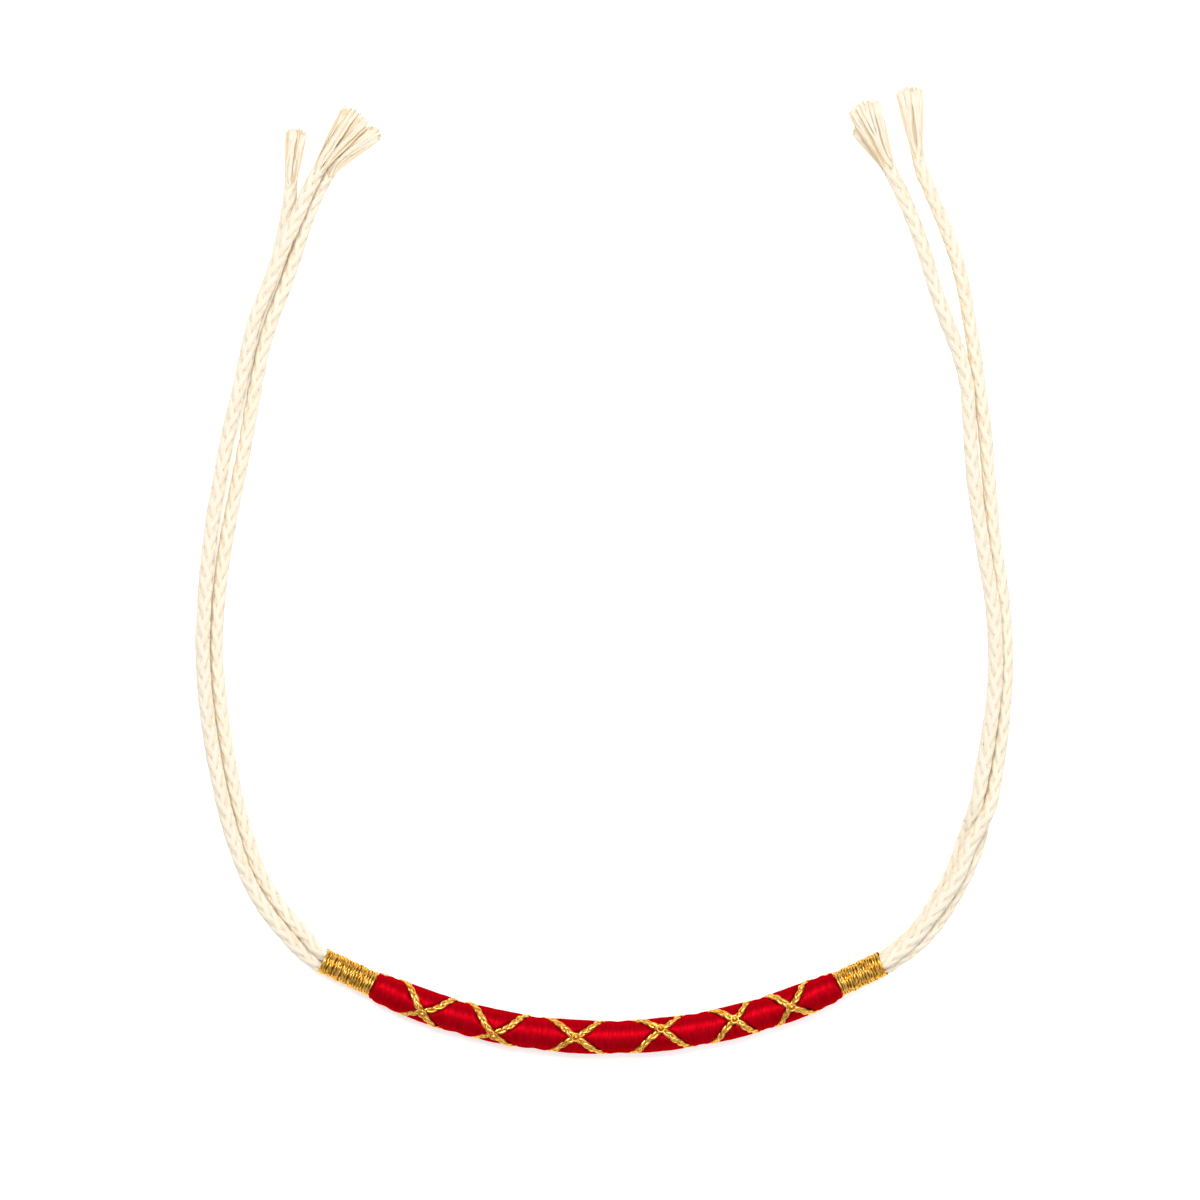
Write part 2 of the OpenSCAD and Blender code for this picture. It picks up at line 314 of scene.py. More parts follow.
def dressed(
    name: str, parts: list[bpy.types.Object], finish: bpy.types.Material, node: str,
    smooth_deg: float = 70,
) -> bpy.types.Object:
    """Joins laid strands into one smooth piece that stands for a node.

    Args:
        name: the piece's name.
        parts: the strands.
        finish: its material.
        node: the node that it replaces.
        smooth_deg: edges sharper than this stay sharp.

    Returns:
        The piece.
    """
    deselect_all()
    for part in parts:
        part.select_set(True)
    piece = parts[0]
    bpy.context.view_layer.objects.active = piece
    bpy.ops.object.join()
    bpy.ops.object.shade_smooth_by_angle(angle=math.radians(smooth_deg))
    piece.name = name
    piece.data.name = name
    piece.data.materials.append(finish)
    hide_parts(node)
    triangles = sum(len(face.vertices) - 2 for face in piece.data.polygons)
    LOG.info("%s: %d triangles", name, triangles)
    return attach(piece, "root")


class Bench:
    """Wires the nodes of one material."""

    def __init__(self, name: str) -> None:
        """Starts a material with its shader.

        Args:
            name: the material's name.
        """
        self.material = bpy.data.materials.new(name)
        self.material.use_nodes = True
        self.tree = self.material.node_tree
        self.shader = self.tree.nodes["Principled BSDF"]

    def node(self, kind: str, inputs: dict | None = None, **settings: object) -> bpy.types.Node:
        """Adds a node.

        Args:
            kind: the node's type.
            inputs: sockets or values by input name.
            settings: the node's own properties.

        Returns:
            The node.
        """
        made = self.tree.nodes.new(kind)
        for name, value in settings.items():
            setattr(made, name, value)
        for name, value in (inputs or {}).items():
            self.feed(made.inputs[name], value)
        return made

    def feed(self, socket: Socket, value: object) -> None:
        """Links a socket, or sets its value."""
        if isinstance(value, bpy.types.NodeSocket):
            self.tree.links.new(value, socket)
        else:
            socket.default_value = value

    def step(self, operation: str, *values: object) -> Socket:
        """One step of arithmetic on sockets or numbers."""
        made = self.node("ShaderNodeMath", operation=operation)
        for place, value in enumerate(values):
            self.feed(made.inputs[place], value)
        return made.outputs[0]

    def scaled(self, value: object, by: object, plus: object = None) -> Socket:
        """A value times another, with a third added where it is given."""
        if plus is None:
            return self.step("MULTIPLY", value, by)
        return self.step("MULTIPLY_ADD", value, by, plus)

    def wave(self, kind: str, turns: object) -> Socket:
        """The sine or cosine of a number of turns, moved to lie between 0 and 1."""
        return self.scaled(self.step(kind, self.scaled(turns, FULL_TURN)), 0.5, 0.5)

    def thread_map(self) -> tuple[Socket, Socket]:
        """The share of the way round a strand, and the millimetres along it."""
        place = self.node("ShaderNodeUVMap", uv_map="Thread")
        split = self.node("ShaderNodeSeparateXYZ", {"Vector": place.outputs[0]})
        return split.outputs["X"], split.outputs["Y"]

    def place(self, x: object, y: object, z: object = 0.0) -> Socket:
        """A vector of three sockets or numbers."""
        return self.node("ShaderNodeCombineXYZ", {"X": x, "Y": y, "Z": z}).outputs[0]

    def noise(
        self, vector: Socket, seed: object = 0.0, detail: float = 2.0, roughness: float = 0.5,
    ) -> Socket:
        """Smooth noise from 0 to 1."""
        wants = {"Vector": vector, "W": seed, "Scale": 1.0, "Detail": detail, "Roughness": roughness}
        return self.node("ShaderNodeTexNoise", wants, noise_dimensions="4D").outputs["Fac"]

    def round_map(self, around: float, along: float, lean: float = 0.0) -> Socket:
        """A pattern place on a strand that closes on itself, stretched round it and along it.

        Args:
            around: how fine the pattern is round the strand.
            along: how fine it is for each millimetre along.
            lean: how far it twists round for each millimetre along.

        Returns:
            The place's socket.
        """
        u, v = self.thread_map()
        turn = self.scaled(self.scaled(v, lean, u), FULL_TURN)
        x, y = (self.scaled(self.step(kind, turn), around) for kind in ("COSINE", "SINE"))
        return self.place(x, y, self.scaled(v, along))

    def facing(self) -> Socket:
        """1 along the middle of a strand's outer side, 0 along its hidden side."""
        u, _ = self.thread_map()
        return self.wave("COSINE", u)

    def tone(self) -> Socket:
        """The strand's own tone, and painted shade where it is below 0."""
        return self.node("ShaderNodeAttribute", attribute_name="Tone").outputs["Fac"]

    def mix(self, share: object, first: object, second: object) -> Socket:
        """Goes from the first colour to the second."""
        made = self.node("ShaderNodeMix", data_type="RGBA")
        for name, value in (("Factor_Float", share), ("A_Color", first), ("B_Color", second)):
            socket = next(s for s in made.inputs if s.identifier == name)
            if isinstance(value, tuple):
                value = (*value, 1.0)
            self.feed(socket, value)
        return next(s for s in made.outputs if s.identifier == "Result_Color")

    def ramp(self, value: Socket, low: float, high: float) -> Socket:
        """Stretches a value so that low gives 0 and high gives 1."""
        wants = {"Value": value, "From Min": low, "From Max": high}
        return self.node("ShaderNodeMapRange", wants, clamp=True).outputs[0]

    def bump(self, height: Socket, strength: float, depth_mm: float, under: Socket | None = None) -> Socket:
        """A normal from a height.

        Args:
            height: the height, from 0 to 1.
            strength: how much of it shows.
            depth_mm: what a height of 1 measures.
            under: a coarser normal that this one lies on.

        Returns:
            The normal's socket.
        """
        wants: dict = {"Height": height, "Strength": strength, "Distance": depth_mm * MM}
        if under is not None:
            wants["Normal"] = under
        return self.node("ShaderNodeBump", wants).outputs[0]

    def finish(self, **inputs: object) -> bpy.types.Material:
        """Gives the shader its inputs, named with underscores for spaces, and hands over the material."""
        for name, value in inputs.items():
            self.feed(self.shader.inputs[name.replace("_", " ")], value)
        return self.material


@dataclass(frozen=True)
class Cotton:
    """Matte cream cotton: spun yarns along each strand, uneven in tone, with painted warm shade where
    strands meet and where ties lie against each other.
    """

    light: Colour = (0.85, 0.775, 0.65)
    # the darker cotton colour: painted shade in the grooves between spun yarns, and the cotton's own uneven
    # tone
    shade: Colour = (0.80, 0.70, 0.545)
    # painted shade on each strand's hidden side and where it dives under another strand
    painted_seam_shade: Colour = (0.75, 0.66, 0.51)
    # painted warm shade where a strand faces the next tie, and on the shaded and under yarns of the frays
    side: Colour = (0.95, 0.78, 0.56)
    yarns: float = 6.0
    spin: float = 0.28
    # How fine each pattern is round a strand and along it, and how far it twists
    fibres: tuple[float, ...] = (3.2, 1.3, 0.05)
    clouds: tuple[float, ...] = (0.5, 0.4)

    def material(self, name: str) -> bpy.types.Material:
        """Builds the cotton."""
        b = Bench(name)
        u, v = b.thread_map()
        yarn = b.step("POWER", b.wave("SINE", b.scaled(u, self.yarns, b.scaled(v, self.spin))), 0.5)
        seed = b.scaled(b.tone(), 9.0)
        fibre = b.noise(b.round_map(*self.fibres), seed, detail=3.0)
        cloud = b.noise(b.round_map(*self.clouds), seed, detail=1.0)
        # lightness: the grooves between spun yarns are painted darker as shade, and fibre and cloud noise
        # with the tone give the cotton's own unevenness
        light = b.scaled(yarn, 0.45, b.scaled(fibre, 0.5))
        light = b.step("ADD", light, b.scaled(cloud, 0.3, b.scaled(b.tone(), 0.2)))
        colour = b.mix(b.ramp(light, 0.4, 0.95), self.shade, self.light)
        # painted shade: a strand's hidden side, and where it dives under (tone below 0), take the painted
        # shade colour
        open_side = b.scaled(b.ramp(b.facing(), 0.28, 0.6), b.ramp(b.tone(), -0.5, 0.05))
        colour = b.mix(open_side, self.painted_seam_shade, colour)
        # painted warm shade where ties meet, and on shaded fray yarns: strongly negative tone takes this
        # colour
        colour = b.mix(b.ramp(b.tone(), -1.0, -0.45), self.side, colour)
        height = b.scaled(yarn, 0.8, b.scaled(fibre, 0.5))
        return b.finish(
            Base_Color=colour, Normal=b.bump(height, 0.5, 0.06), Roughness=0.9,
            Sheen_Weight=0.15, Sheen_Roughness=0.5, Specular_IOR_Level=0.2,
        )


@dataclass(frozen=True)
class Silk:
    """Satin red silk: fine threads wound round the rod, in bands that lie a little aslant."""

    bright: Colour = (0.465, 0.0016, 0.0095)
    deep: Colour = (0.30, 0.0003, 0.003)
    # the cut ends past the bare silk: the darker colour of cut thread, deepened with painted shade from the
    # bindings and ties over them
    dark_cut_and_shade: Colour = (0.10, 0.0, 0.004)
    girth: float = 16.3

    def material(self, name: str) -> bpy.types.Material:
        """Builds the silk."""
        b = Bench(name)
        u, v = b.thread_map()
        around = b.scaled(u, self.girth)
        sway = b.noise(b.place(b.scaled(around, 0.25), b.scaled(v, 0.3)), 2.0, detail=1.0)
        lean = b.scaled(around, 0.14, b.scaled(sway, 1.2, v))
        other = b.scaled(around, -0.24, v)
        fine = b.noise(b.place(b.scaled(around, 0.5), b.scaled(lean, 3.6)), detail=3.0, roughness=0.6)
        broad = b.noise(b.place(b.scaled(around, 0.4), b.scaled(other, 1.5)), 5.0)
        weave = b.scaled(fine, 0.6, b.scaled(broad, 0.4))
        colour = b.mix(b.ramp(weave, 0.36, 0.64), self.deep, self.bright)
        # the cut ends take their own darker colour together with painted shade
        colour = b.mix(b.ramp(b.tone(), 0.0, 1.0), self.dark_cut_and_shade, colour)
        under = b.bump(broad, 0.3, 0.15)
        return b.finish(
            Base_Color=colour, Normal=b.bump(fine, 0.5, 0.09, under), Roughness=b.ramp(fine, 1.75, -0.8),
            Metallic=0.55, Specular_IOR_Level=0.0, Specular_Tint=(1.0, 0.03, 0.06, 1.0),
        )


@dataclass(frozen=True)
class GoldThread:
    """Metallic gold thread with painted glints, and painted brown shade on each strand's hidden side and
    where strands meet.
    """

    # the colour of painted glints and of the lighter foil wraps
    bright: Colour = (0.90, 0.60, 0.17)
    foil: Colour = (0.60, 0.27, 0.014)
    # painted brown shade between strands and on their hidden sides
    valley_shade: Colour = (0.25, 0.095, 0.004)
    wraps: float = 2.0
    rise: float = 1.1
    glints: tuple[float, float] = (0.6, 0.7)
    # the facing share above which a strand has no painted shade
    dark_to: float = 0.78

    def material(self, name: str) -> bpy.types.Material:
        """Builds the gold thread."""
        b = Bench(name)
        u, v = b.thread_map()
        wrap = b.wave("SINE", b.scaled(u, self.wraps, b.scaled(v, self.rise)))
        # painted glints: noise spots lift the foil to the bright colour, over the pattern of foil wraps
        glint = b.noise(b.round_map(*self.glints), b.scaled(b.tone(), 9.0))
        wrap_and_glint = b.scaled(wrap, 0.25, b.scaled(glint, 0.85))
        colour = b.mix(b.ramp(wrap_and_glint, 0.42, 0.68), self.foil, self.bright)
        # painted shade: each strand's hidden side, and the dark beds (tone below 0), take the brown shade
        # colour
        crest = b.scaled(b.ramp(b.facing(), 0.44, self.dark_to), b.ramp(b.tone(), -0.5, 0.0))
        colour = b.mix(crest, self.valley_shade, colour)
        return b.finish(
            Base_Color=colour, Normal=b.bump(wrap, 0.25, 0.03), Roughness=b.ramp(glint, -0.35, 2.2),
            Metallic=1.0, Specular_Tint=(1.0, 0.8, 0.5, 1.0),
        )


@dataclass(frozen=True)
class PaleFloor:
    """The plain, pale, matte surface that the rakhi lies on, lit a little from below."""

    colour: Colour = (0.93, 0.93, 0.935)
    glow: float = 0.42

    def material(self, name: str) -> bpy.types.Material:
        """Builds the floor's finish."""
        return Bench(name).finish(
            Base_Color=(*self.colour, 1.0), Roughness=0.95, Specular_IOR_Level=0.1,
            Emission_Color=(1.0, 1.0, 1.0, 1.0), Emission_Strength=self.glow,
        )


@dataclass
class Rod:
    """The bent rod that the silk, the lashings and the bindings share."""

    arc_r: float = 82.7
    half_deg: float = 25.6
    silk_r: float = 2.6
    left_binding: float = 8.5
    right_binding: float = 7.4
    binding_r: float = 2.0
    rim_len: float = 0.2
    rim_r: float = 1.93
    start_gap: float = 0.04
    lash_r: float = 2.2
    lash_part: float = 0.4
    lash_t: float = 0.6
    lash_lift: float = 0.1
    seen_part: float = 0.25
    front_share: float = 25.0
    parted_deg: float = 38.0
    level_deg: float = 68.0
    # Place along the rod, phase of the lashings' turns and lean of the crossing
    crossings: tuple[Point, ...] = (
        (-36.95, -275, -10),
        (-28.3, 0, -22),
        (-17.0, 360, -30),
        (-4.6, 720, 2),
        (8.6, 1080, 24),
        (20.1, 1440, 12),
        (29.0, 1800, -4),
        (36.95, 2075, 0),
    )

    @property
    def half(self) -> float:
        """Half of the bare silk's length."""
        return self.arc_r * math.radians(self.half_deg)

    @property
    def axis_h(self) -> float:
        """The height of the rod's axis over the floor."""
        return self.lash_r + self.lash_part + self.lash_t / 2

    def bound(self, end: End) -> float:
        """The length of the binding at one end."""
        return self.left_binding if end is End.LEFT else self.right_binding

    @property
    def arc_x(self) -> float:
        """The place of the arc's centre, which puts the rod evenly about x = 0."""
        return (self.left_binding - self.right_binding) / 2 * math.cos(math.radians(self.half_deg))

    @property
    def arc_y(self) -> float:
        """The place of the arc's centre, which puts the rod evenly about y = 0."""
        bend, end = math.radians(self.half_deg), max(self.left_binding, self.right_binding) + self.rim_len
        back = self.arc_r * math.cos(bend) - end * math.sin(bend)
        return (self.arc_r + self.silk_r + back - self.rim_r * math.cos(bend)) / 2

    def bend(self, s: np.ndarray) -> np.ndarray:
        """How far the rod has turned at a place along it, in radians."""
        return np.clip(s, -self.half, self.half) / self.arc_r

    def at(self, s: np.ndarray) -> np.ndarray:
        """Points on the rod's axis."""
        s = np.asarray(s, float)
        a = self.bend(s)
        straight = np.sign(s) * np.maximum(np.abs(s) - self.half, 0)
        return np.stack([
            self.arc_x + self.arc_r * np.sin(a) + straight * np.cos(a),
            self.arc_y - self.arc_r * np.cos(a) + straight * np.sin(a),
            np.full(s.shape, self.axis_h),
        ], -1)

    def outward(self, s: np.ndarray, around: np.ndarray) -> np.ndarray:
        """The direction away from the axis: around is 0 at the top and a quarter turn on the hollow side."""
        a = self.bend(np.asarray(s, float))
        return np.stack([-np.sin(a) * np.sin(around), np.cos(a) * np.sin(around), np.cos(around)], -1)

    def leaving(self, end: End) -> Point:
        """The direction straight out of one end."""
        bend = math.radians(self.half_deg)
        return (end.value * math.cos(bend), math.sin(bend), 0.0)

    def tie_start(self, end: End, inward: float, up: float) -> Point:
        """Where a tie's middle starts on one end, that far from the axis."""
        s = end.value * (self.half + self.bound(end) + self.rim_len + self.start_gap)
        inner = self.outward(s, math.pi / 2)
        return tuple(float(c) for c in self.at(s) + inward * inner + up * UP)

    def phase(self, s: np.ndarray) -> np.ndarray:
        """The phase of the lashings' turns, in degrees."""
        places, phases, _ = zip(*self.crossings)
        u = np.interp(s, places, phases)
        return u - self.front_share * np.sin(np.radians(u))

    def off_crossing(self, s: np.ndarray) -> np.ndarray:
        """How far the phase is from that of the nearest crossing, in degrees."""
        phase = self.phase(s)
        return np.abs(phase - 180 * np.round(phase / 180))

    def lash_around(self, s: np.ndarray, turn: Turn) -> np.ndarray:
        """Where a lashing is round the rod, in radians."""
        places, _, leans = zip(*self.crossings)
        return np.radians(np.interp(s, places, leans) + turn.value * self.phase(s))

    def crossing(self, s: np.ndarray) -> np.ndarray:
        """1 where the lashings cross, 0 where they run apart."""
        return 1 - ease((self.off_crossing(s) - self.parted_deg) / (self.level_deg - self.parted_deg))

    def lash_seen(self, s: np.ndarray, turn: Turn) -> np.ndarray:
        """How far a lashing's middle is from the axis, where the silk holds it up."""
        return self.lash_r + self.lash_lift - turn.value * self.seen_part * self.crossing(s)


@dataclass
class SilkWinding:
    """The padded silk winding: it swells between the lashings, which press grooves into it."""

    rod: Rod
    finish: Silk = field(default_factory=Silk)
    sides: int = 120
    cuts: tuple[int, ...] = (21, 21)
    groove_flat: float = 0.44
    groove_slope: float = 0.20
    hollow_deep: float = 0.07
    hollow_wide: float = 1.2
    bed_lift: float = 0.12
    slow_wave: float = 0.018
    slow_len: float = 3.1
    fine_wave: float = 0.008
    fine_len: float = 0.62
    waist: float = 0.2
    waist_wide: float = 0.7
    neck: float = 1.4
    neck_in: float = 0.3
    rim_low: float = 1.6
    rim_corner: float = 0.36
    rim_in: float = 0.12
    rim_out: float = 0.22
    rim_back: float = 0.2
    rim_reach: float = 0.25
    corner_sharp: int = 36
    beak_corner: float = 0.16
    beak_in: float = 0.02
    beak_share: float = 0.8
    # how far under a binding the painted dark of the cut ends starts
    cut_shade_in: float = 1.0
    # Distance from a binding, and how much smaller than the full radius the silk is there
    swell: tuple[tuple[float, float], ...] = (
        (0.0, 0.78), (0.08, 0.62), (0.25, 0.47), (0.55, 0.34), (1.1, 0.22), (2.0, 0.13), (4.5, 0.06),
        (12.0, 0.03), (37.0, 0.0),
    )

    def off_lashing(self, s: np.ndarray, around: np.ndarray, turn: Turn) -> np.ndarray:
        """The distance of points on the silk from a lashing's middle line, across the lashing."""
        step = 0.05
        steep = (self.rod.lash_around(s + step, turn) - self.rod.lash_around(s - step, turn)) / (2 * step)
        away = around - self.rod.lash_around(s, turn)
        away = np.abs(away - FULL_TURN * np.round(away / FULL_TURN))
        return self.rod.lash_r * away / np.sqrt(1 + (self.rod.lash_r * steep) ** 2)

    def radius(self, s: np.ndarray, around: np.ndarray) -> np.ndarray:
        """The silk's radius at points along and round the rod."""
        from_binding, thinner = zip(*self.swell)
        full = self.rod.silk_r - np.interp(self.rod.half - np.abs(s), from_binding, thinner)
        full = full + self.slow_wave * waver(s + 0.6 * np.sin(around), self.slow_len, 1.0)
        full = full + self.fine_wave * waver(s + around, self.fine_len, 4.0)
        behind = np.radians(np.abs((self.rod.phase(s) % 360) - 180))
        full = full - self.waist * hump(behind, self.waist_wide) * np.sin(around) ** 4
        off = {turn: self.off_lashing(s, around, turn) for turn in Turn}
        full = full - self.hollow_deep * hump(np.minimum(*off.values()), self.hollow_wide)
        skin = full
        for turn, away in off.items():
            bed = self.rod.lash_seen(s, turn) - self.rod.lash_t / 2 + self.bed_lift
            press = hump(np.maximum(away - self.groove_flat, 0), self.groove_slope)
            skin = np.minimum(skin, full + np.minimum(bed - full, 0) * press)
        return skin

    def end_rings(self, end: End, around: np.ndarray) -> list[tuple[np.ndarray, np.ndarray]]:
        """The rings past the bare silk at one end: the rim shows only at the two corners."""
        rod = self.rod
        bound = rod.half + rod.bound(end)
        corner, even = np.abs(np.sin(around)) ** self.corner_sharp, np.ones_like(around)
        tip = bound - self.rim_in + (rod.rim_len + self.rim_out) * corner
        rim, beak = (self.rim_low + rise * corner for rise in (self.rim_corner, self.beak_corner))
        rings = [
            (tip - self.beak_in, self.beak_share * beak), (tip, beak),
            (bound - self.rim_back + self.rim_reach * corner, rim),
            ((bound - self.neck_in) * even, self.neck * even), (rod.half * even, self.neck * even),
        ]
        return [(end.value * s, r) for s, r in rings]

    def build(self) -> bpy.types.Object:
        """Models and dresses the silk."""
        rod, spool = self.rod, Spool(self.sides, self.cuts)
        turn = -FULL_TURN * np.arange(self.sides) / self.sides
        left, right = self.end_rings(End.LEFT, turn), self.end_rings(End.RIGHT, turn)[::-1]
        bare = np.linspace(-rod.half, rod.half, spool.rings - len(left) - len(right) + 2)[1:-1]
        along = np.repeat(bare[:, None], self.sides, axis=1)
        middle = self.radius(along, turn)
        place = np.concatenate([[s for s, _ in left], along, [s for s, _ in right]])
        radius = np.concatenate([[r for _, r in left], middle, [r for _, r in right]])
        skin = rod.at(place) + radius[..., None] * rod.outward(place, np.broadcast_to(turn, place.shape))
        run = place.mean(axis=1)
        # tone 0 marks the cut ends, painted dark: partly their own colour, partly painted shade
        tone = np.where(np.abs(run) > rod.half + self.cut_shade_in, 0.0, 1.0)
        silk = spool.lay(skin, run, tone)
        spool.put_away()
        return dressed("silk_winding", [silk], self.finish.material("red silk"), "silk_core", 60)


@dataclass
class Lashing:
    """A flat plait of three gold strands that runs round the silk, with a knot where it crosses over."""

    rod: Rod
    turn: Turn
    node: str
    spool: Spool
    knot_spool: Spool
    finish: bpy.types.Material
    strands: int = 3
    plait_len: float = 4.4
    half_wide: float = 0.56
    strand_wide: float = 0.26
    strand_thick: float = 0.2
    sway_up: float = 0.1
    uneven: float = 0.06
    uneven_len: float = 2.9
    drift: float = 0.25
    drift_len: float = 9.0
    # a strand under the plait, painted wholly in the brown shade colour, which stands for the shade between
    # the plait's strands
    bed_in: float = 0.12
    bed_thick: float = 0.1
    bed_wide: float = 0.44
    knot: float = -0.15
    knot_len: float = 0.62
    knot_wide: float = 1.25
    knot_r: float = 0.5
    knot_foot: float = 0.2
    knot_up: float = 0.15
    knot_close: float = 0.97
    ring_r: float = 0.56
    ring_thick: float = 0.13
    ring_turns: float = 1.04
    knot_base: float = 0.24
    sunk: float = 0.45
    sink_len: float = 3.4
    dive: float = 0.4
    dive_len: float = 0.9
    run_in: float = 0.35
    steps: int = 6000

    def lines(self) -> tuple[np.ndarray, np.ndarray, np.ndarray]:
        """The plait's middle, the direction away from the rod and the share of a knot, evenly spaced."""
        rod, reach = self.rod, self.rod.half + self.run_in
        s = np.linspace(-reach, reach, self.steps)
        inside = rod.half - np.abs(s)
        sink = self.sunk * ease(1 - inside / self.sink_len) + self.dive * ease(1 - inside / self.dive_len)
        away = rod.outward(s, rod.lash_around(s, self.turn))
        line = rod.at(s) + (rod.lash_seen(s, self.turn) - sink)[:, None] * away
        off = np.radians(rod.off_crossing(s)) * rod.lash_r * self.knot_wide
        knot = hump(off, self.knot_len) * (self.turn is Turn.OVER)
        run = run_of(line)
        even = np.linspace(0, run[-1], self.spool.rings)
        return read_off(even, run, line), read_off(even, run, away), np.interp(even, run, knot)

    def knots(self) -> list[Strand]:
        """A small domed knot, with a turn of thread round it, on each crossing at the front."""
        made, share, step = [], np.linspace(0, 1, self.knot_spool.rings), 0.1
        for s, phase, lean in self.rod.crossings:
            if phase % 360:
                continue
            away = self.rod.outward(s, math.radians(lean))
            along = unit(self.rod.at(s + step) - self.rod.at(s - step))
            across = np.cross(away, along)
            base = self.rod.at(s) + (float(self.rod.lash_seen(s, self.turn)) + self.knot_base) * away
            turn = FULL_TURN * self.ring_turns * share + s
            ring = base + self.ring_r * (np.cos(turn)[:, None] * along + np.sin(turn)[:, None] * across)
            made.append(Strand(ring, away, self.ring_thick, self.ring_thick, 0.5, 3 * s))
            height = -self.knot_foot + (self.knot_up + self.knot_r) * np.sin(share * math.pi / 2)
            radius = self.knot_r * np.cos(share * math.pi / 2 * self.knot_close)
            made.append(Strand(base + height[:, None] * away, across, radius, radius, 0.9, 5 * s))
        return made

    def build(self) -> bpy.types.Object:
        """Plaits and dresses the lashing."""
        line, away, knot = self.lines()
        _, across, away = axes_on(line, away)
        run, laid = run_of(line), []
        for k in range(self.strands):
            a = FULL_TURN * (run / self.plait_len + k / self.strands)
            a = a + self.drift * waver(run, self.drift_len, k)
            side = (self.half_wide - self.strand_wide) * np.sin(a)
            lift = self.sway_up * np.sin(2 * a)
            path = line + side[:, None] * across + lift[:, None] * away
            puff = 1 + self.knot * knot + self.uneven * waver(run, self.uneven_len, k)
            laid.append(Strand(
                path, away, self.strand_thick * puff, self.strand_wide * puff, 0.3 + 0.2 * k, 31.0 * k,
            ))
        # the dark bed: painted shade under the plait
        laid.append(Strand(line - self.bed_in * away, away, self.bed_thick, self.bed_wide, -1.0))
        parts = self.spool.wind(laid)
        if self.turn is Turn.OVER:
            parts += self.knot_spool.wind(self.knots())
        return dressed("gold_" + self.node, parts, self.finish, self.node)


@dataclass
class Binding:
    """Twisted gold thread wound tightly round one end of the rod, with loose turns that stray over it."""

    rod: Rod
    end: End
    node: str
    spool: Spool
    ring_spool: Spool
    finish: bpy.types.Material
    thread: float = 0.47
    plies: int = 2
    first_turn: float = 0.6
    stray_len: float = 9.3
    twist_len: float = 2.7
    twist_drift: float = 0.5
    ply_off: float = 0.09
    ply_thick: float = 0.15
    ply_wide: float = 0.145
    ply_uneven: float = 0.12
    uneven: float = 0.035
    uneven_len: float = 4.3
    # the painted shade layer under the turns: its radius, and how far in from each end it stops
    under_r: float = 1.74
    under_in: float = 0.01
    edge_turns: float = 1.01
    edge_thick: float = 0.19
    edge_in: float = 0.17
    # Share of the close turns, how far it sits out, and how far it strays along the rod
    layers: tuple[Point, ...] = ((1.0, 0.0, 0.09), (0.4, 0.08, 0.55))

    def thread_line(self, share_of_turns: float, lift: float, stray: float) -> tuple[np.ndarray, np.ndarray]:
        """The middle of one layer of thread, and the direction away from the rod."""
        rod, sign = self.rod, self.end.value
        long = rod.bound(self.end)
        turns = round(long / self.thread * share_of_turns)
        share = np.linspace(0, 1, self.spool.rings)
        around = FULL_TURN * turns * share + self.first_turn + 2.1 * lift
        margin = self.thread / 2 / long
        along = long * (margin + (1 - 2 * margin) * share)
        fade = np.clip(np.minimum(share, 1 - share) * turns, 0, 1)
        along = along + stray * fade * waver(around, self.stray_len, 2.0 + sign + 7 * lift)
        along = np.clip(along, self.thread / 2, long - self.thread / 2)
        s = sign * (rod.half + along)
        away = rod.outward(s, around)
        uneven = self.uneven * (waver(around, self.uneven_len, 5.0 + sign + lift) - 0.4)
        out = rod.binding_r - self.ply_off - self.ply_thick + lift * fade + uneven
        return rod.at(s) + out[:, None] * away, away

    def bed(self) -> Strand:
        """A layer painted wholly in the brown shade colour, which shows as the shade between the turns."""
        share = np.linspace(self.under_in, 1 - self.under_in, self.ring_spool.rings)
        line = self.rod.at(self.end.value * (self.rod.half + share * self.rod.bound(self.end)))
        return Strand(line, UP, self.under_r, self.under_r, -1.0)

    def edge(self, along: float) -> Strand:
        """A clean last turn, which closes on itself."""
        around = FULL_TURN * np.linspace(0, self.edge_turns, self.ring_spool.rings)
        s = np.full(len(around), self.end.value * (self.rod.half + along))
        away = self.rod.outward(s, around)
        line = self.rod.at(s) + (self.rod.binding_r - self.edge_thick) * away
        return Strand(line, away, self.edge_thick, self.edge_thick, 1.0)

    def build(self) -> bpy.types.Object:
        """Winds and dresses the binding."""
        laid, long = [], self.rod.bound(self.end)
        for number, layer in enumerate(self.layers):
            line, away = self.thread_line(*layer)
            _, across, _ = axes_on(line, away)
            run = run_of(line)
            for k in range(self.plies):
                a = FULL_TURN * (run / self.twist_len + k / self.plies)
                a = a + self.twist_drift * waver(run, 11.0, 3.0 + number)
                reach = np.cos(a)[:, None] * away + np.sin(a)[:, None] * across
                thick = 1 + self.ply_uneven * waver(run, 2.3, number + 2 * k)
                laid.append(Strand(
                    line + self.ply_off * reach, away, self.ply_thick * thick, self.ply_wide * thick,
                    0.2 + 0.3 * k + 0.25 * number, 17.0 * k,
                ))
        rings = [self.bed(), self.edge(self.edge_in), self.edge(long - self.edge_in)]
        parts = self.spool.wind(laid) + self.ring_spool.wind(rings)
        return dressed("gold_" + self.node, parts, self.finish, self.node)


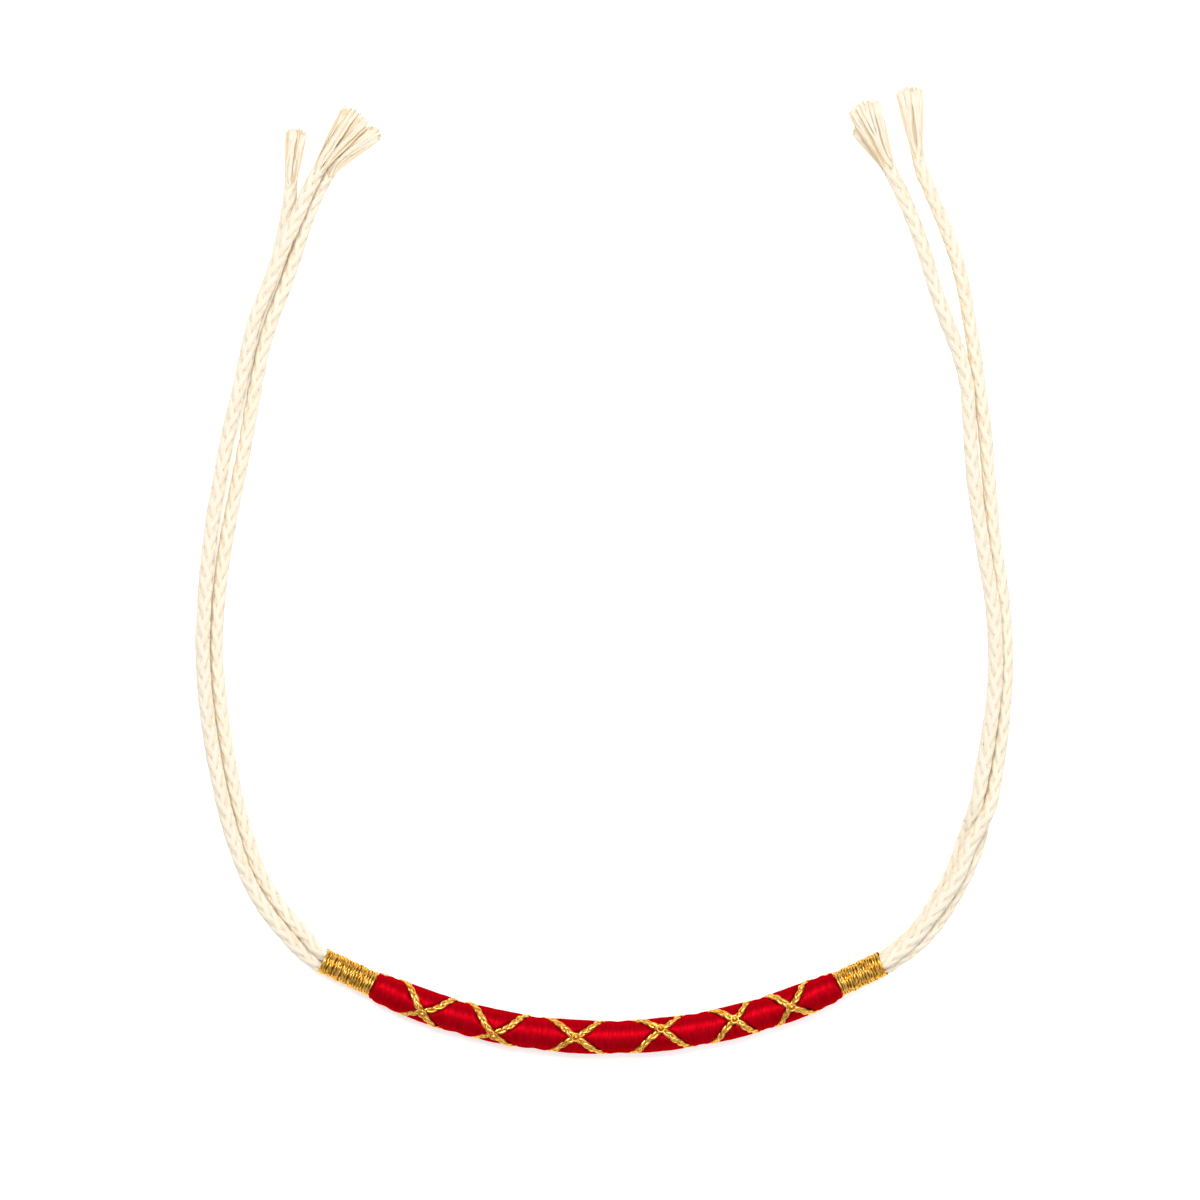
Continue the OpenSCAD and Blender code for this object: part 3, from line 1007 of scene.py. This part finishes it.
@dataclass
class Course:
    """A smooth line through a route's points.

    Attributes:
        route: the points, in millimetres.
        leaving: the direction at the first point.
        steps: the steps from each point to the next.
        near: how far before and after a place the two points lie that give the direction there.
    """

    route: tuple[Point, ...]
    leaving: Point
    steps: int = 24
    near: float = 0.2
    line: np.ndarray = field(init=False)
    runs: np.ndarray = field(init=False)

    def __post_init__(self) -> None:
        """Draws the smooth line."""
        p = np.array(self.route, float)
        gap = np.linalg.norm(np.diff(p, axis=0), axis=1)
        slope = np.diff(p, axis=0) / gap[:, None]
        aim = np.empty_like(p)
        aim[1:-1] = (slope[:-1] * gap[1:, None] + slope[1:] * gap[:-1, None]) / (gap[:-1] + gap[1:])[:, None]
        aim[0], aim[-1] = self.leaving, slope[-1]
        t = np.linspace(0, 1, self.steps + 1)[:-1, None]
        curve = [
            (2 * t**3 - 3 * t**2 + 1) * p[i] + (t**3 - 2 * t**2 + t) * gap[i] * aim[i]
            + (3 * t**2 - 2 * t**3) * p[i + 1] + (t**3 - t**2) * gap[i] * aim[i + 1]
            for i in range(len(gap))
        ]
        self.line = np.concatenate([*curve, p[-1:]])
        self.runs = run_of(self.line)

    @property
    def length(self) -> float:
        """The line's length."""
        return float(self.runs[-1])

    def at(self, run: np.ndarray) -> np.ndarray:
        """Points at distances along the line, which carries straight on past its ends."""
        run = np.asarray(run, float)
        inside = read_off(run, self.runs, self.line)
        before, after = np.minimum(run, 0)[..., None], np.maximum(run - self.length, 0)[..., None]
        first, last = unit(self.line[1] - self.line[0]), unit(self.line[-1] - self.line[-2])
        return inside + before * first + after * last

    def frame(self, run: np.ndarray) -> tuple[np.ndarray, np.ndarray, np.ndarray, np.ndarray]:
        """The point, and the directions forward, sideways and up, at distances along the line."""
        forward = unit(self.at(run + self.near) - self.at(run - self.near))
        side = unit(np.cross(forward, UP))
        return self.at(run), forward, side, np.cross(side, forward)


@dataclass
class Braid:
    """How eight strands go round a tie, each over two others and then under two."""

    strands: int = 8
    lay: float = 12.3
    middle_r: float = 0.71
    weave: float = 0.065
    thick: float = 0.30
    wide: float = 0.50
    core_r: float = 0.76
    face_deg: float = 22.5
    uneven: float = 0.16
    uneven_len: float = 13.0
    drift: float = 0.4
    drift_len: float = 90.0

    def way(self, k: int) -> int:
        """The way that a strand goes round: even ones one way, odd ones the other."""
        return 1 if k % 2 == 0 else -1

    def turn(self, k: int, run: np.ndarray, seed: float) -> np.ndarray:
        """The angle of a strand round the tie.

        Args:
            k: the strand's number.
            run: distances along the tie.
            seed: the tie's own number.

        Returns:
            The angle at each distance.
        """
        start = FULL_TURN * (k // 2) / (self.strands / 2) + math.radians(self.face_deg)
        uneven = self.uneven * waver(run, self.uneven_len, seed + k)
        drift = self.drift * waver(run, self.drift_len, seed)
        return self.way(k) * FULL_TURN * run / self.lay + start + uneven + drift

    def over(self, k: int, run: np.ndarray) -> np.ndarray:
        """1 where a strand lies over the others, -1 where it lies under them."""
        way = self.way(k)
        return way * np.cos(2 * FULL_TURN * run / self.lay + way * (math.pi * (k // 2) - math.pi / 4))


@dataclass
class Tie:
    """A round braid of cotton that lies along a route.

    Attributes:
        node: the name of its node.
        route: the points that it follows.
        leaving: its direction where it comes out of the rod.
        beside: 1 where another tie lies on its right, -1 on its left, seen from the rod; the painted shade
            where ties meet goes on that side.
        seed: a number that makes its unevenness its own.
    """

    node: str
    route: tuple[Point, ...]
    leaving: Point
    beside: int
    seed: float
    spool: Spool
    finish: bpy.types.Material
    braid: Braid = field(default_factory=Braid)
    thickness: float = 2.0
    squeezed: float = 1.75
    swell_len: float = 4.0
    flat: float = 0.93
    spread: float = 1.07
    start_in: float = 0.35
    end_in: float = 0.3
    end_thin: float = 0.45
    fray_len: float = 2.4
    uneven: float = 0.05
    path_step: int = 6
    course: Course = field(init=False)

    def __post_init__(self) -> None:
        """Draws the line that the tie follows."""
        self.course = Course(self.route, self.leaving)

    def fullness(self, run: np.ndarray) -> np.ndarray:
        """The share of its full thickness that the tie has."""
        swollen = (self.thickness - self.squeezed) * ease(run / self.swell_len)
        return (self.squeezed + swollen) / self.thickness

    def strand(self, k: int, run: np.ndarray) -> tuple[np.ndarray, np.ndarray]:
        """One strand's middle line, and the direction away from the tie's own middle."""
        middle, _, side, up = self.course.frame(run)
        a = self.braid.turn(k, run, self.seed)
        rise, reach = np.cos(a)[:, None] * up, np.sin(a)[:, None] * side
        out = self.fullness(run) * (self.braid.middle_r + self.braid.weave * self.braid.over(k, run))
        line = middle + out[:, None] * (self.flat * rise + self.spread * reach)
        return line, unit(rise / self.flat + reach / self.spread)

    def tone(self, k: int, run: np.ndarray) -> np.ndarray:
        """A strand's lightness, with painted shade: darker where it dives under, and warm painted shade
        where ties meet.
        """
        tone = any_share(2.3 * k + self.seed)
        # painted shade where the strand dives under the others
        tone = tone - (tone + 0.4) * ease(-1.5 * self.braid.over(k, run) - 0.5)
        # painted warm shade on the side that faces the next tie, and a little on the other side
        near = self.beside * np.sin(self.braid.turn(k, run, self.seed))
        return tone - (tone + 1) * np.maximum(near, 0) ** 7 - 0.3 * np.maximum(-near, 0) ** 8

    def build(self) -> bpy.types.Object:
        """Braids and dresses the tie."""
        run = np.linspace(-self.start_in, self.course.length - self.end_in, self.spool.rings)
        middle, _, _, up = self.course.frame(run)
        full = self.fullness(run)
        thin = self.end_thin + (1 - self.end_thin) * ease((self.course.length - run) / self.fray_len)
        laid = []
        for k in range(self.braid.strands):
            size = full * thin * (1 + self.uneven * waver(run, 6.0, self.seed + 2 * k))
            laid.append(Strand(
                *self.strand(k, run), self.braid.thick * size, self.braid.wide * size,
                self.tone(k, run), 211 * self.seed + 37 * k,
            ))
        core = self.braid.core_r * full * thin
        laid.append(Strand(middle, up, core, core, 0.3, 5.0))
        name = self.node.replace("cord", "braid")
        return dressed(name, self.spool.wind(laid), self.finish, self.node)


@dataclass
class Fray:
    """The unbraided end of a tie: each strand opens into three yarns that fan out and end in loose fibres.

    Attributes:
        node: the name of its node.
        tie: the tie that it ends.
        aim_deg: the direction that its yarns spread in.
        long: the yarns' length.
        wide: the width over their tips.
        tip_z: the height of the tips.
    """

    node: str
    tie: Tie
    aim_deg: float
    long: float
    wide: float
    tip_z: float
    yarn_spool: Spool
    fibre_spool: Spool
    finish: bpy.types.Material
    root_in: float = 2.6
    split: float = 0.23
    yarn_thick: float = 0.19
    yarn_wide: float = 0.22
    yarn_low: float = 0.24
    flare: float = 0.3
    uneven: float = 0.07
    stray: float = 0.05
    jitter: float = 0.25
    round_off: float = 0.25
    root_pull: float = 0.28
    tip_pull: float = 0.4
    tip_low: float = 0.26
    layer: float = 0.25
    under_layer: float = 0.1
    drop: float = 0.15
    fibres: int = 8
    under: int = 13
    under_share: float = 0.42
    under_wide: float = 1.6
    under_long: float = 0.95
    fill_up: float = 0.45
    fill_in: float = 1.8
    fill_side: float = 1.5
    # every few yarns one lies lower and is painted in warm shade, for the shade lines between yarns
    shaded_each: int = 3
    shaded_wide: float = 0.7
    shaded_tone: float = -0.8
    fibre_r: float = 0.032
    fibre_len: float = 0.75
    fibre_low: float = 0.05
    root: np.ndarray = field(init=False)
    forward: np.ndarray = field(init=False)
    side: np.ndarray = field(init=False)
    up: np.ndarray = field(init=False)
    aim: np.ndarray = field(init=False)
    broad: np.ndarray = field(init=False)

    def __post_init__(self) -> None:
        """Works out how the braid ends, and the directions that the yarns spread in."""
        at_end = self.tie.course.frame(np.array([self.tie.course.length]))
        self.root, self.forward, self.side, self.up = (row[0] for row in at_end)
        turn = math.radians(self.aim_deg)
        self.aim = np.array([math.cos(turn), math.sin(turn), 0.0])
        self.broad = np.array([self.aim[1], -self.aim[0], 0.0])

    def tip(self, long: float, share: float, height: float) -> np.ndarray:
        """Where a yarn ends: how far out, at what share of the width, and how high."""
        tip = self.root + self.aim * long + self.broad * share * (self.wide - 2 * self.yarn_wide)
        tip[2] = height
        return tip

    def roots(self) -> list[np.ndarray]:
        """The lines that the yarns follow inside the braid, from one side of the tie to the other."""
        tie, end = self.tie, self.tie.course.length
        run = np.linspace(end - self.root_in, end - tie.end_in, 9)
        made = []
        for k in range(tie.braid.strands):
            line, away = tie.strand(k, run)
            _, across, _ = axes_on(line, away)
            made += [line + half * self.split * across for half in (-1, 0, 1)]
        return sorted(made, key=lambda line: float((line[-1] - self.root) @ self.side))

    def upper_lines(self) -> list[np.ndarray]:
        """The yarns' middle lines, from inside the braid to their tips."""
        made, roots, seed = [], self.roots(), self.tie.seed
        for rank, line in enumerate(roots):
            jitter = math.sin(2.9 * rank + seed)
            share = (rank + 0.5) / len(roots) - 0.5 + self.jitter * jitter / len(roots)
            height = float((line[-1] - self.root) @ self.up)
            upper = height > 0 if abs(height) > 0.2 else rank % 2 == 0
            longer = self.stray * math.sin(2.4 * rank + 3 * seed)
            long = self.long * (1 + longer - self.round_off * share**2)
            drop = self.drop if rank % self.shaded_each == 0 else 0.0
            tip_z = self.tip_z + (self.layer if upper else -self.under_layer) + 0.08 * jitter - drop
            tip = self.tip(long, share, max(tip_z, self.tip_low))
            start = line[-1]
            ahead = unit(line[-1] - line[-2])
            first = start + self.root_pull * self.long * unit(0.55 * ahead + 0.45 * self.forward)
            last = tip - self.tip_pull * self.long * unit(self.aim + 0.35 * share * self.broad)
            last[2] = max(0.45 * start[2] + 0.55 * tip[2], 0.28)
            curve = bend_through(start, first, last, tip, steps=24)
            made.append(spaced(np.concatenate([line[:-1], curve]), self.yarn_spool.rings))
        return made

    def under_lines(self) -> list[np.ndarray]:
        """The middle lines of the yarns under the others, which are painted in warm shade."""
        made = []
        start = self.tie.course.at(self.tie.course.length - self.fill_in) + self.fill_up * UP
        for share in np.linspace(-self.under_share, self.under_share, self.under):
            tip = self.tip(self.under_long * self.long, share, max(self.tip_z + 0.05, 0.2))
            base = start + share * self.fill_side * self.side
            first, last = base + 0.3 * self.long * self.forward, tip - 0.45 * self.long * self.aim
            made.append(bend_through(base, first, last, tip, steps=self.yarn_spool.rings))
        return made

    def build(self) -> bpy.types.Object:
        """Fans out and dresses the yarns."""
        yarns, fibres = [], []
        # the under yarns are painted in warm shade, where the gaps between upper yarns would be shaded
        for k, line in enumerate(self.under_lines()):
            full = np.linspace(0.6, 1, len(line))
            wide = self.under_wide * self.yarn_wide * full
            yarns.append(Strand(line, UP, self.yarn_thick * full, wide, self.shaded_tone, 7 * k))
        for k, line in enumerate(self.upper_lines()):
            seed = self.tie.seed + 1.37 * k
            run = run_of(line)
            left = run[-1] - run
            forward, side, up = axes_on(line, UP)
            loose = ease((run - self.root_in) / 3)
            line = line + (self.stray * loose * waver(run, 3.4, seed))[:, None] * side
            line[:, 2] = np.maximum(line[:, 2], self.yarn_low)
            size = (0.7 + 0.3 * ease(run / 1.5)) * (1 + self.uneven * waver(run, 2.6, seed))
            open_up = self.flare * ease(1 - left / (0.6 * self.long))
            # painted warm shade on every third yarn
            shaded = k % self.shaded_each == 0
            tone = self.shaded_tone if shaded else any_share(3.1 * seed)
            wide = self.yarn_wide * size * (1 + open_up) * (self.shaded_wide if shaded else 1)
            thick = self.yarn_thick * size * (1 - 0.7 * open_up)
            yarns.append(Strand(line, up, thick, wide, tone, 19 * seed))
            fibres += self.brush(line, forward[-1], side[-1], up[-1], seed)
        parts = self.yarn_spool.wind(yarns) + self.fibre_spool.wind(fibres)
        return dressed(self.node.replace("tuft", "fray"), parts, self.finish, self.node)

    def brush(
        self, path: np.ndarray, forward: np.ndarray, side: np.ndarray, up: np.ndarray, seed: float,
    ) -> list[Strand]:
        """The loose fibres at one yarn's tip.

        Args:
            path: the yarn's middle line.
            forward: the direction that its tip points in.
            side: the direction across it, level with the floor.
            up: the direction square to both.
            seed: a number that makes its fibres its own.

        Returns:
            The fibres.
        """
        made = []
        for n in range(self.fibres):
            a = 2.4 * n + seed
            away = math.cos(a) * up + math.sin(a) * side
            start = path[-3] + 0.6 * self.yarn_thick * away
            long = self.fibre_len * (0.7 + 0.4 * math.sin(4.1 * n + 2 * seed))
            spread = 0.13 + 0.12 * math.sin(1.9 * n + seed)
            tip = start + long * (forward + spread * away)
            for point in (start, tip):
                point[2] = max(point[2], self.fibre_low)
            middle = (start + tip) / 2 + 0.05 * long * side * math.sin(7 * n + seed)
            line = bend_through(start, middle, middle, tip, steps=self.fibre_spool.rings)
            r = self.fibre_r * np.linspace(1, 0.45, len(line))
            made.append(Strand(line, up, r, r, 0.8 + 0.2 * math.sin(5 * n), 3.0 * n))
        return made


class Routes:
    """The points that the ties follow, from the rod to where they start to fray."""

    LEFT_1 = (
        (-44.47, 7.6, 1.4), (-46.15, 8.6, 1.1), (-48.12, 10, 1), (-49.99, 11.7, 1), (-51.68, 13.7, 1),
        (-53.28, 16.2, 1), (-55.18, 20, 1), (-57.06, 25, 1), (-58.43, 30, 1), (-59.53, 35, 1),
        (-60.43, 40, 1), (-61.13, 45, 1), (-61.53, 50, 1), (-61.73, 55, 1), (-61.47, 60, 1),
        (-61.15, 65, 1), (-60.65, 70, 1), (-59.95, 75, 1), (-59.05, 80, 1), (-58.15, 85, 1),
        (-57.05, 90, 1), (-55.85, 95, 1), (-54.75, 100, 1), (-53.49, 105, 1), (-51.52, 110, 1),
        (-49.9, 115, 1), (-48.8, 120, 1), (-48.2, 123.5, 1), (-48, 126.5, 1),
    )
    LEFT_2 = (
        (-44.95, 6.55, 2.9), (-46.45, 7.85, 2.95), (-48.1, 9.6, 3), (-49.84, 11.6, 3.05),
        (-51.52, 13.7, 3.05), (-53.12, 16.2, 3.05), (-55.02, 20, 3.05), (-56.82, 25, 3.05),
        (-58.12, 30, 3.05), (-59.22, 35, 3.05), (-60.12, 40, 3.05), (-60.82, 45, 3.05),
        (-61.22, 50, 3.05), (-61.42, 55, 3.05), (-61.21, 60, 3.05), (-61, 65, 3.05), (-60.5, 70, 3.05),
        (-59.8, 75, 3.05), (-58.9, 80, 3.05), (-58, 85, 3.05), (-56.9, 90, 3.05), (-55.7, 95, 3.05),
        (-54.6, 100, 3.05), (-53.4, 105, 3.05), (-51.4, 110, 3.05), (-49.4, 115, 3.05), (-47.2, 120, 3),
        (-45.1, 125, 2.9), (-43.3, 128.5, 2.8),
    )
    LEFT_3 = (
        (-44, 8.05, 3.65), (-45.25, 9.75, 3.25), (-46.7, 11.2, 2.65), (-48.3, 12.9, 1.8),
        (-50.2, 15.4, 1.15), (-52.9, 20, 1), (-54.64, 25, 1), (-56.08, 30, 1), (-57.18, 35, 1),
        (-58.08, 40, 1), (-58.78, 45, 1), (-59.28, 50, 1), (-59.54, 55, 1), (-59.3, 60, 1),
        (-58.8, 65, 1), (-58.1, 70, 1), (-57.2, 75, 1), (-56.2, 80, 1), (-55.2, 85, 1), (-54.3, 90, 1),
        (-53.4, 95, 1), (-52.4, 100, 1), (-50.9, 105, 1), (-49, 110, 1), (-47.3, 115, 1), (-45.7, 120, 1),
        (-43.6, 125, 1), (-41.9, 128, 1),
    )
    RIGHT_1 = (
        (44.9, 7.9, 1.6), (46.8, 9.4, 1.1), (48.7, 11.4, 1), (50.5, 13.9, 1), (52.3, 17, 1),
        (53.9, 20, 1), (55.4, 24, 1), (55.9, 25.5, 1.2), (56.3, 27, 1.75), (56.8, 28.5, 2.4),
        (57.3, 30, 2.95), (58, 33, 3.05), (58.6, 36, 3.05), (59.3, 40, 3.05), (59.98, 45, 3.05),
        (60.45, 50, 3.05), (60.45, 55, 3.05), (60.15, 60, 3.05), (59.38, 65, 3.05), (58.5, 70, 3.05),
        (57.8, 75, 3.05), (57.1, 80, 3.05), (56.6, 85, 3.05), (56.3, 90, 3.05), (56, 95, 3.05),
        (54.7, 100, 3.05), (52.8, 105, 3.05), (51, 110, 3.05), (49.5, 115, 3.05), (47.7, 120, 3.05),
        (45.6, 125, 3.05), (43.7, 129, 3.05),
    )
    RIGHT_2 = (
        (45.5, 6.4, 2.1), (47.9, 8.1, 1.6), (50.2, 10.2, 1.25), (52.3, 12.9, 1.05), (54.2, 16, 1),
        (56.3, 20, 1), (57.8, 24, 1), (58.5, 27, 1), (58.3, 30, 1), (58.1, 33, 1), (58.5, 36, 1),
        (59.23, 40, 1), (59.97, 45, 1), (60.4, 50, 1), (60.4, 55, 1), (60.1, 60, 1), (59.43, 65, 1),
        (58.55, 70, 1), (57.85, 75, 1), (57.15, 80, 1), (56.75, 85, 1), (56.45, 90, 1), (56.05, 95, 1),
        (54.75, 100, 1), (52.87, 105, 1), (51.16, 110, 1), (49.75, 115, 1), (48, 120, 1), (45.9, 125, 1),
        (43.8, 128.7, 1),
    )
    RIGHT_3 = (
        (45.6, 7.7, 3.4), (47.9, 9.8, 3.05), (50.3, 12.8, 2.95), (52.7, 16, 2.9), (55, 20, 2.9),
        (56.5, 24, 2.9), (57.3, 25.5, 3), (58.1, 27, 3.1), (58.9, 28.5, 3.05), (59.6, 30, 2.65),
        (60.3, 33, 1.7), (60.8, 36, 1.1), (61.4, 40, 1), (61.9, 45, 1), (62.2, 50, 1), (62.2, 55, 1),
        (61.9, 60, 1), (61.3, 65, 1), (60.5, 70, 1), (60, 75, 1), (59.6, 80, 1), (59.2, 85, 1),
        (58.7, 90, 1), (58, 95, 1), (57.3, 100, 1), (56.5, 105, 1), (55.6, 110, 1), (54.3, 115, 1),
        (52.5, 120, 1), (50.4, 125, 1), (49, 128.5, 1), (48.4, 131.2, 1),
    )


@dataclass(frozen=True)
class Lamp:
    """One soft square light: its name, place, side, power and colour."""

    name: str
    place: Point
    size: float
    watts: float
    tint: Colour

    def hang(self, target: Point) -> None:
        """Adds the light, facing the target."""
        deselect_all()
        turn = (Vector(target) - Vector(self.place)).to_track_quat("-Z", "Y").to_euler()
        bpy.ops.object.light_add(type="AREA", location=self.place, rotation=turn)
        lamp = bpy.context.object
        lamp.name = self.name
        lamp.data.size = self.size
        lamp.data.energy = self.watts
        lamp.data.color = self.tint


@dataclass
class Studio:
    """The floor, the soft lights and the camera: a large lamp nearly overhead and a weak one beside it."""

    aim: tuple[float, float] = (-0.00038, 0.0617)
    field_wide: float = 0.1848
    distance: float = 0.75
    object_top: float = 0.0015
    floor_size: float = 6.0
    floor_drop: float = 0.00002
    middle: Point = (0.0, 0.06, 0.0)
    lamps: tuple[Lamp, ...] = (
        Lamp("key", (-0.14, 0.5, 1.1), 0.4, 9.9, (1.0, 0.985, 0.96)),
        Lamp("fill", (0.6, 0.0, 0.9), 0.9, 3.5, (1.0, 0.99, 0.97)),
    )
    surroundings: Colour = (0.95, 0.97, 1.0)
    surroundings_light: float = 0.46

    def camera(self) -> None:
        """Puts the camera straight above the middle of the photograph's view."""
        deselect_all()
        bpy.ops.object.camera_add(location=(*self.aim, self.distance), rotation=(0, 0, 0))
        camera = bpy.context.object
        camera.data.lens = camera.data.sensor_width * (self.distance - self.object_top) / self.field_wide
        camera.data.clip_start = 0.01
        bpy.context.scene.camera = camera

    def floor(self) -> None:
        """Lays the plain floor just under the rakhi."""
        deselect_all()
        bpy.ops.mesh.primitive_plane_add(size=self.floor_size, location=(0, 0, -self.floor_drop))
        floor = bpy.context.object
        floor.name = "floor"
        floor.data.materials.append(PaleFloor().material("pale floor"))

    def light(self) -> None:
        """Hangs the lamps and sets the pale surroundings."""
        for lamp in self.lamps:
            lamp.hang(self.middle)
        world = bpy.data.worlds.new("studio")
        world.use_nodes = True
        back = world.node_tree.nodes["Background"]
        back.inputs["Color"].default_value = (*self.surroundings, 1.0)
        back.inputs["Strength"].default_value = self.surroundings_light
        bpy.context.scene.world = world
        bpy.context.scene.view_settings.view_transform = "Standard"


def main() -> None:
    """Builds the camera, the ties and frays, then the rod's pieces, the floor and the lights."""
    logging.basicConfig(level=logging.INFO, format="%(message)s")
    studio, rod = Studio(), Rod()
    studio.camera()
    cotton = Cotton().material("cream cotton")
    # the frays' cotton takes its own colours of painted shade
    loose = Cotton(painted_seam_shade=(0.74, 0.60, 0.41), side=(0.80, 0.66, 0.455)).material("frayed cotton")
    braid_spool = Spool(8, (19, 19))
    yarn_spool, fibre_spool = Spool(6, (33,)), Spool(3, (3,))
    # Name, end of the rod, where it starts on that end, side of its neighbour, route, then the fray's
    # direction, length, width and height of its tips
    ties = (
        ("left_1", End.LEFT, (0.3, -0.95), 1, Routes.LEFT_1, (84, 7.6, 3.5, 0.6)),
        ("left_2", End.LEFT, (-1.0, 0.15), 1, Routes.LEFT_2, (56, 9.8, 5.2, 1.5)),
        ("left_3", End.LEFT, (0.85, 0.6), -1, Routes.LEFT_3, (40, 9.3, 2.8, 0.55)),
        ("right_1", End.RIGHT, (0.9, -0.45), 1, Routes.RIGHT_1, (112, 9.7, 5.6, 1.75)),
        ("right_2", End.RIGHT, (-0.95, -0.4), 1, Routes.RIGHT_2, (128, 7.3, 2.6, 0.55)),
        ("right_3", End.RIGHT, (0.0, 1.0), -1, Routes.RIGHT_3, (97, 9.3, 4.4, 0.6)),
    )
    for number, (name, end, start, beside, points, (aim, long, wide, tip_z)) in enumerate(ties):
        route, seed = (rod.tie_start(end, *start), *points), 1.0 + 0.83 * number
        tie = Tie(f"cord_{name}", route, rod.leaving(end), beside, seed, braid_spool, cotton)
        braid = tie.build()
        fray = Fray(f"tuft_{name}", tie, aim, long, wide, tip_z, yarn_spool, fibre_spool, loose).build()
    SilkWinding(rod).build()
    gold = GoldThread().material("gold thread")
    twisted = GoldThread((0.93, 0.59, 0.165), (0.66, 0.29, 0.02), (0.50, 0.165, 0.01), dark_to=0.64)
    cord_gold = twisted.material("gold cord")
    lash_spool, bind_spool, knot_spool = Spool(8, (24, 23)), Spool(6, (35, 34)), Spool(12, (31,))
    for turn, node in ((Turn.UNDER, "lashing_a"), (Turn.OVER, "lashing_b")):
        Lashing(rod, turn, node, lash_spool, knot_spool, cord_gold).build()
    for end, node in ((End.LEFT, "binding_left"), (End.RIGHT, "binding_right")):
        Binding(rod, end, node, bind_spool, knot_spool, gold).build()
    for spool in (braid_spool, yarn_spool, fibre_spool, lash_spool, bind_spool, knot_spool):
        spool.put_away()
    studio.floor()
    studio.light()


if __name__ == "__main__":
    main()
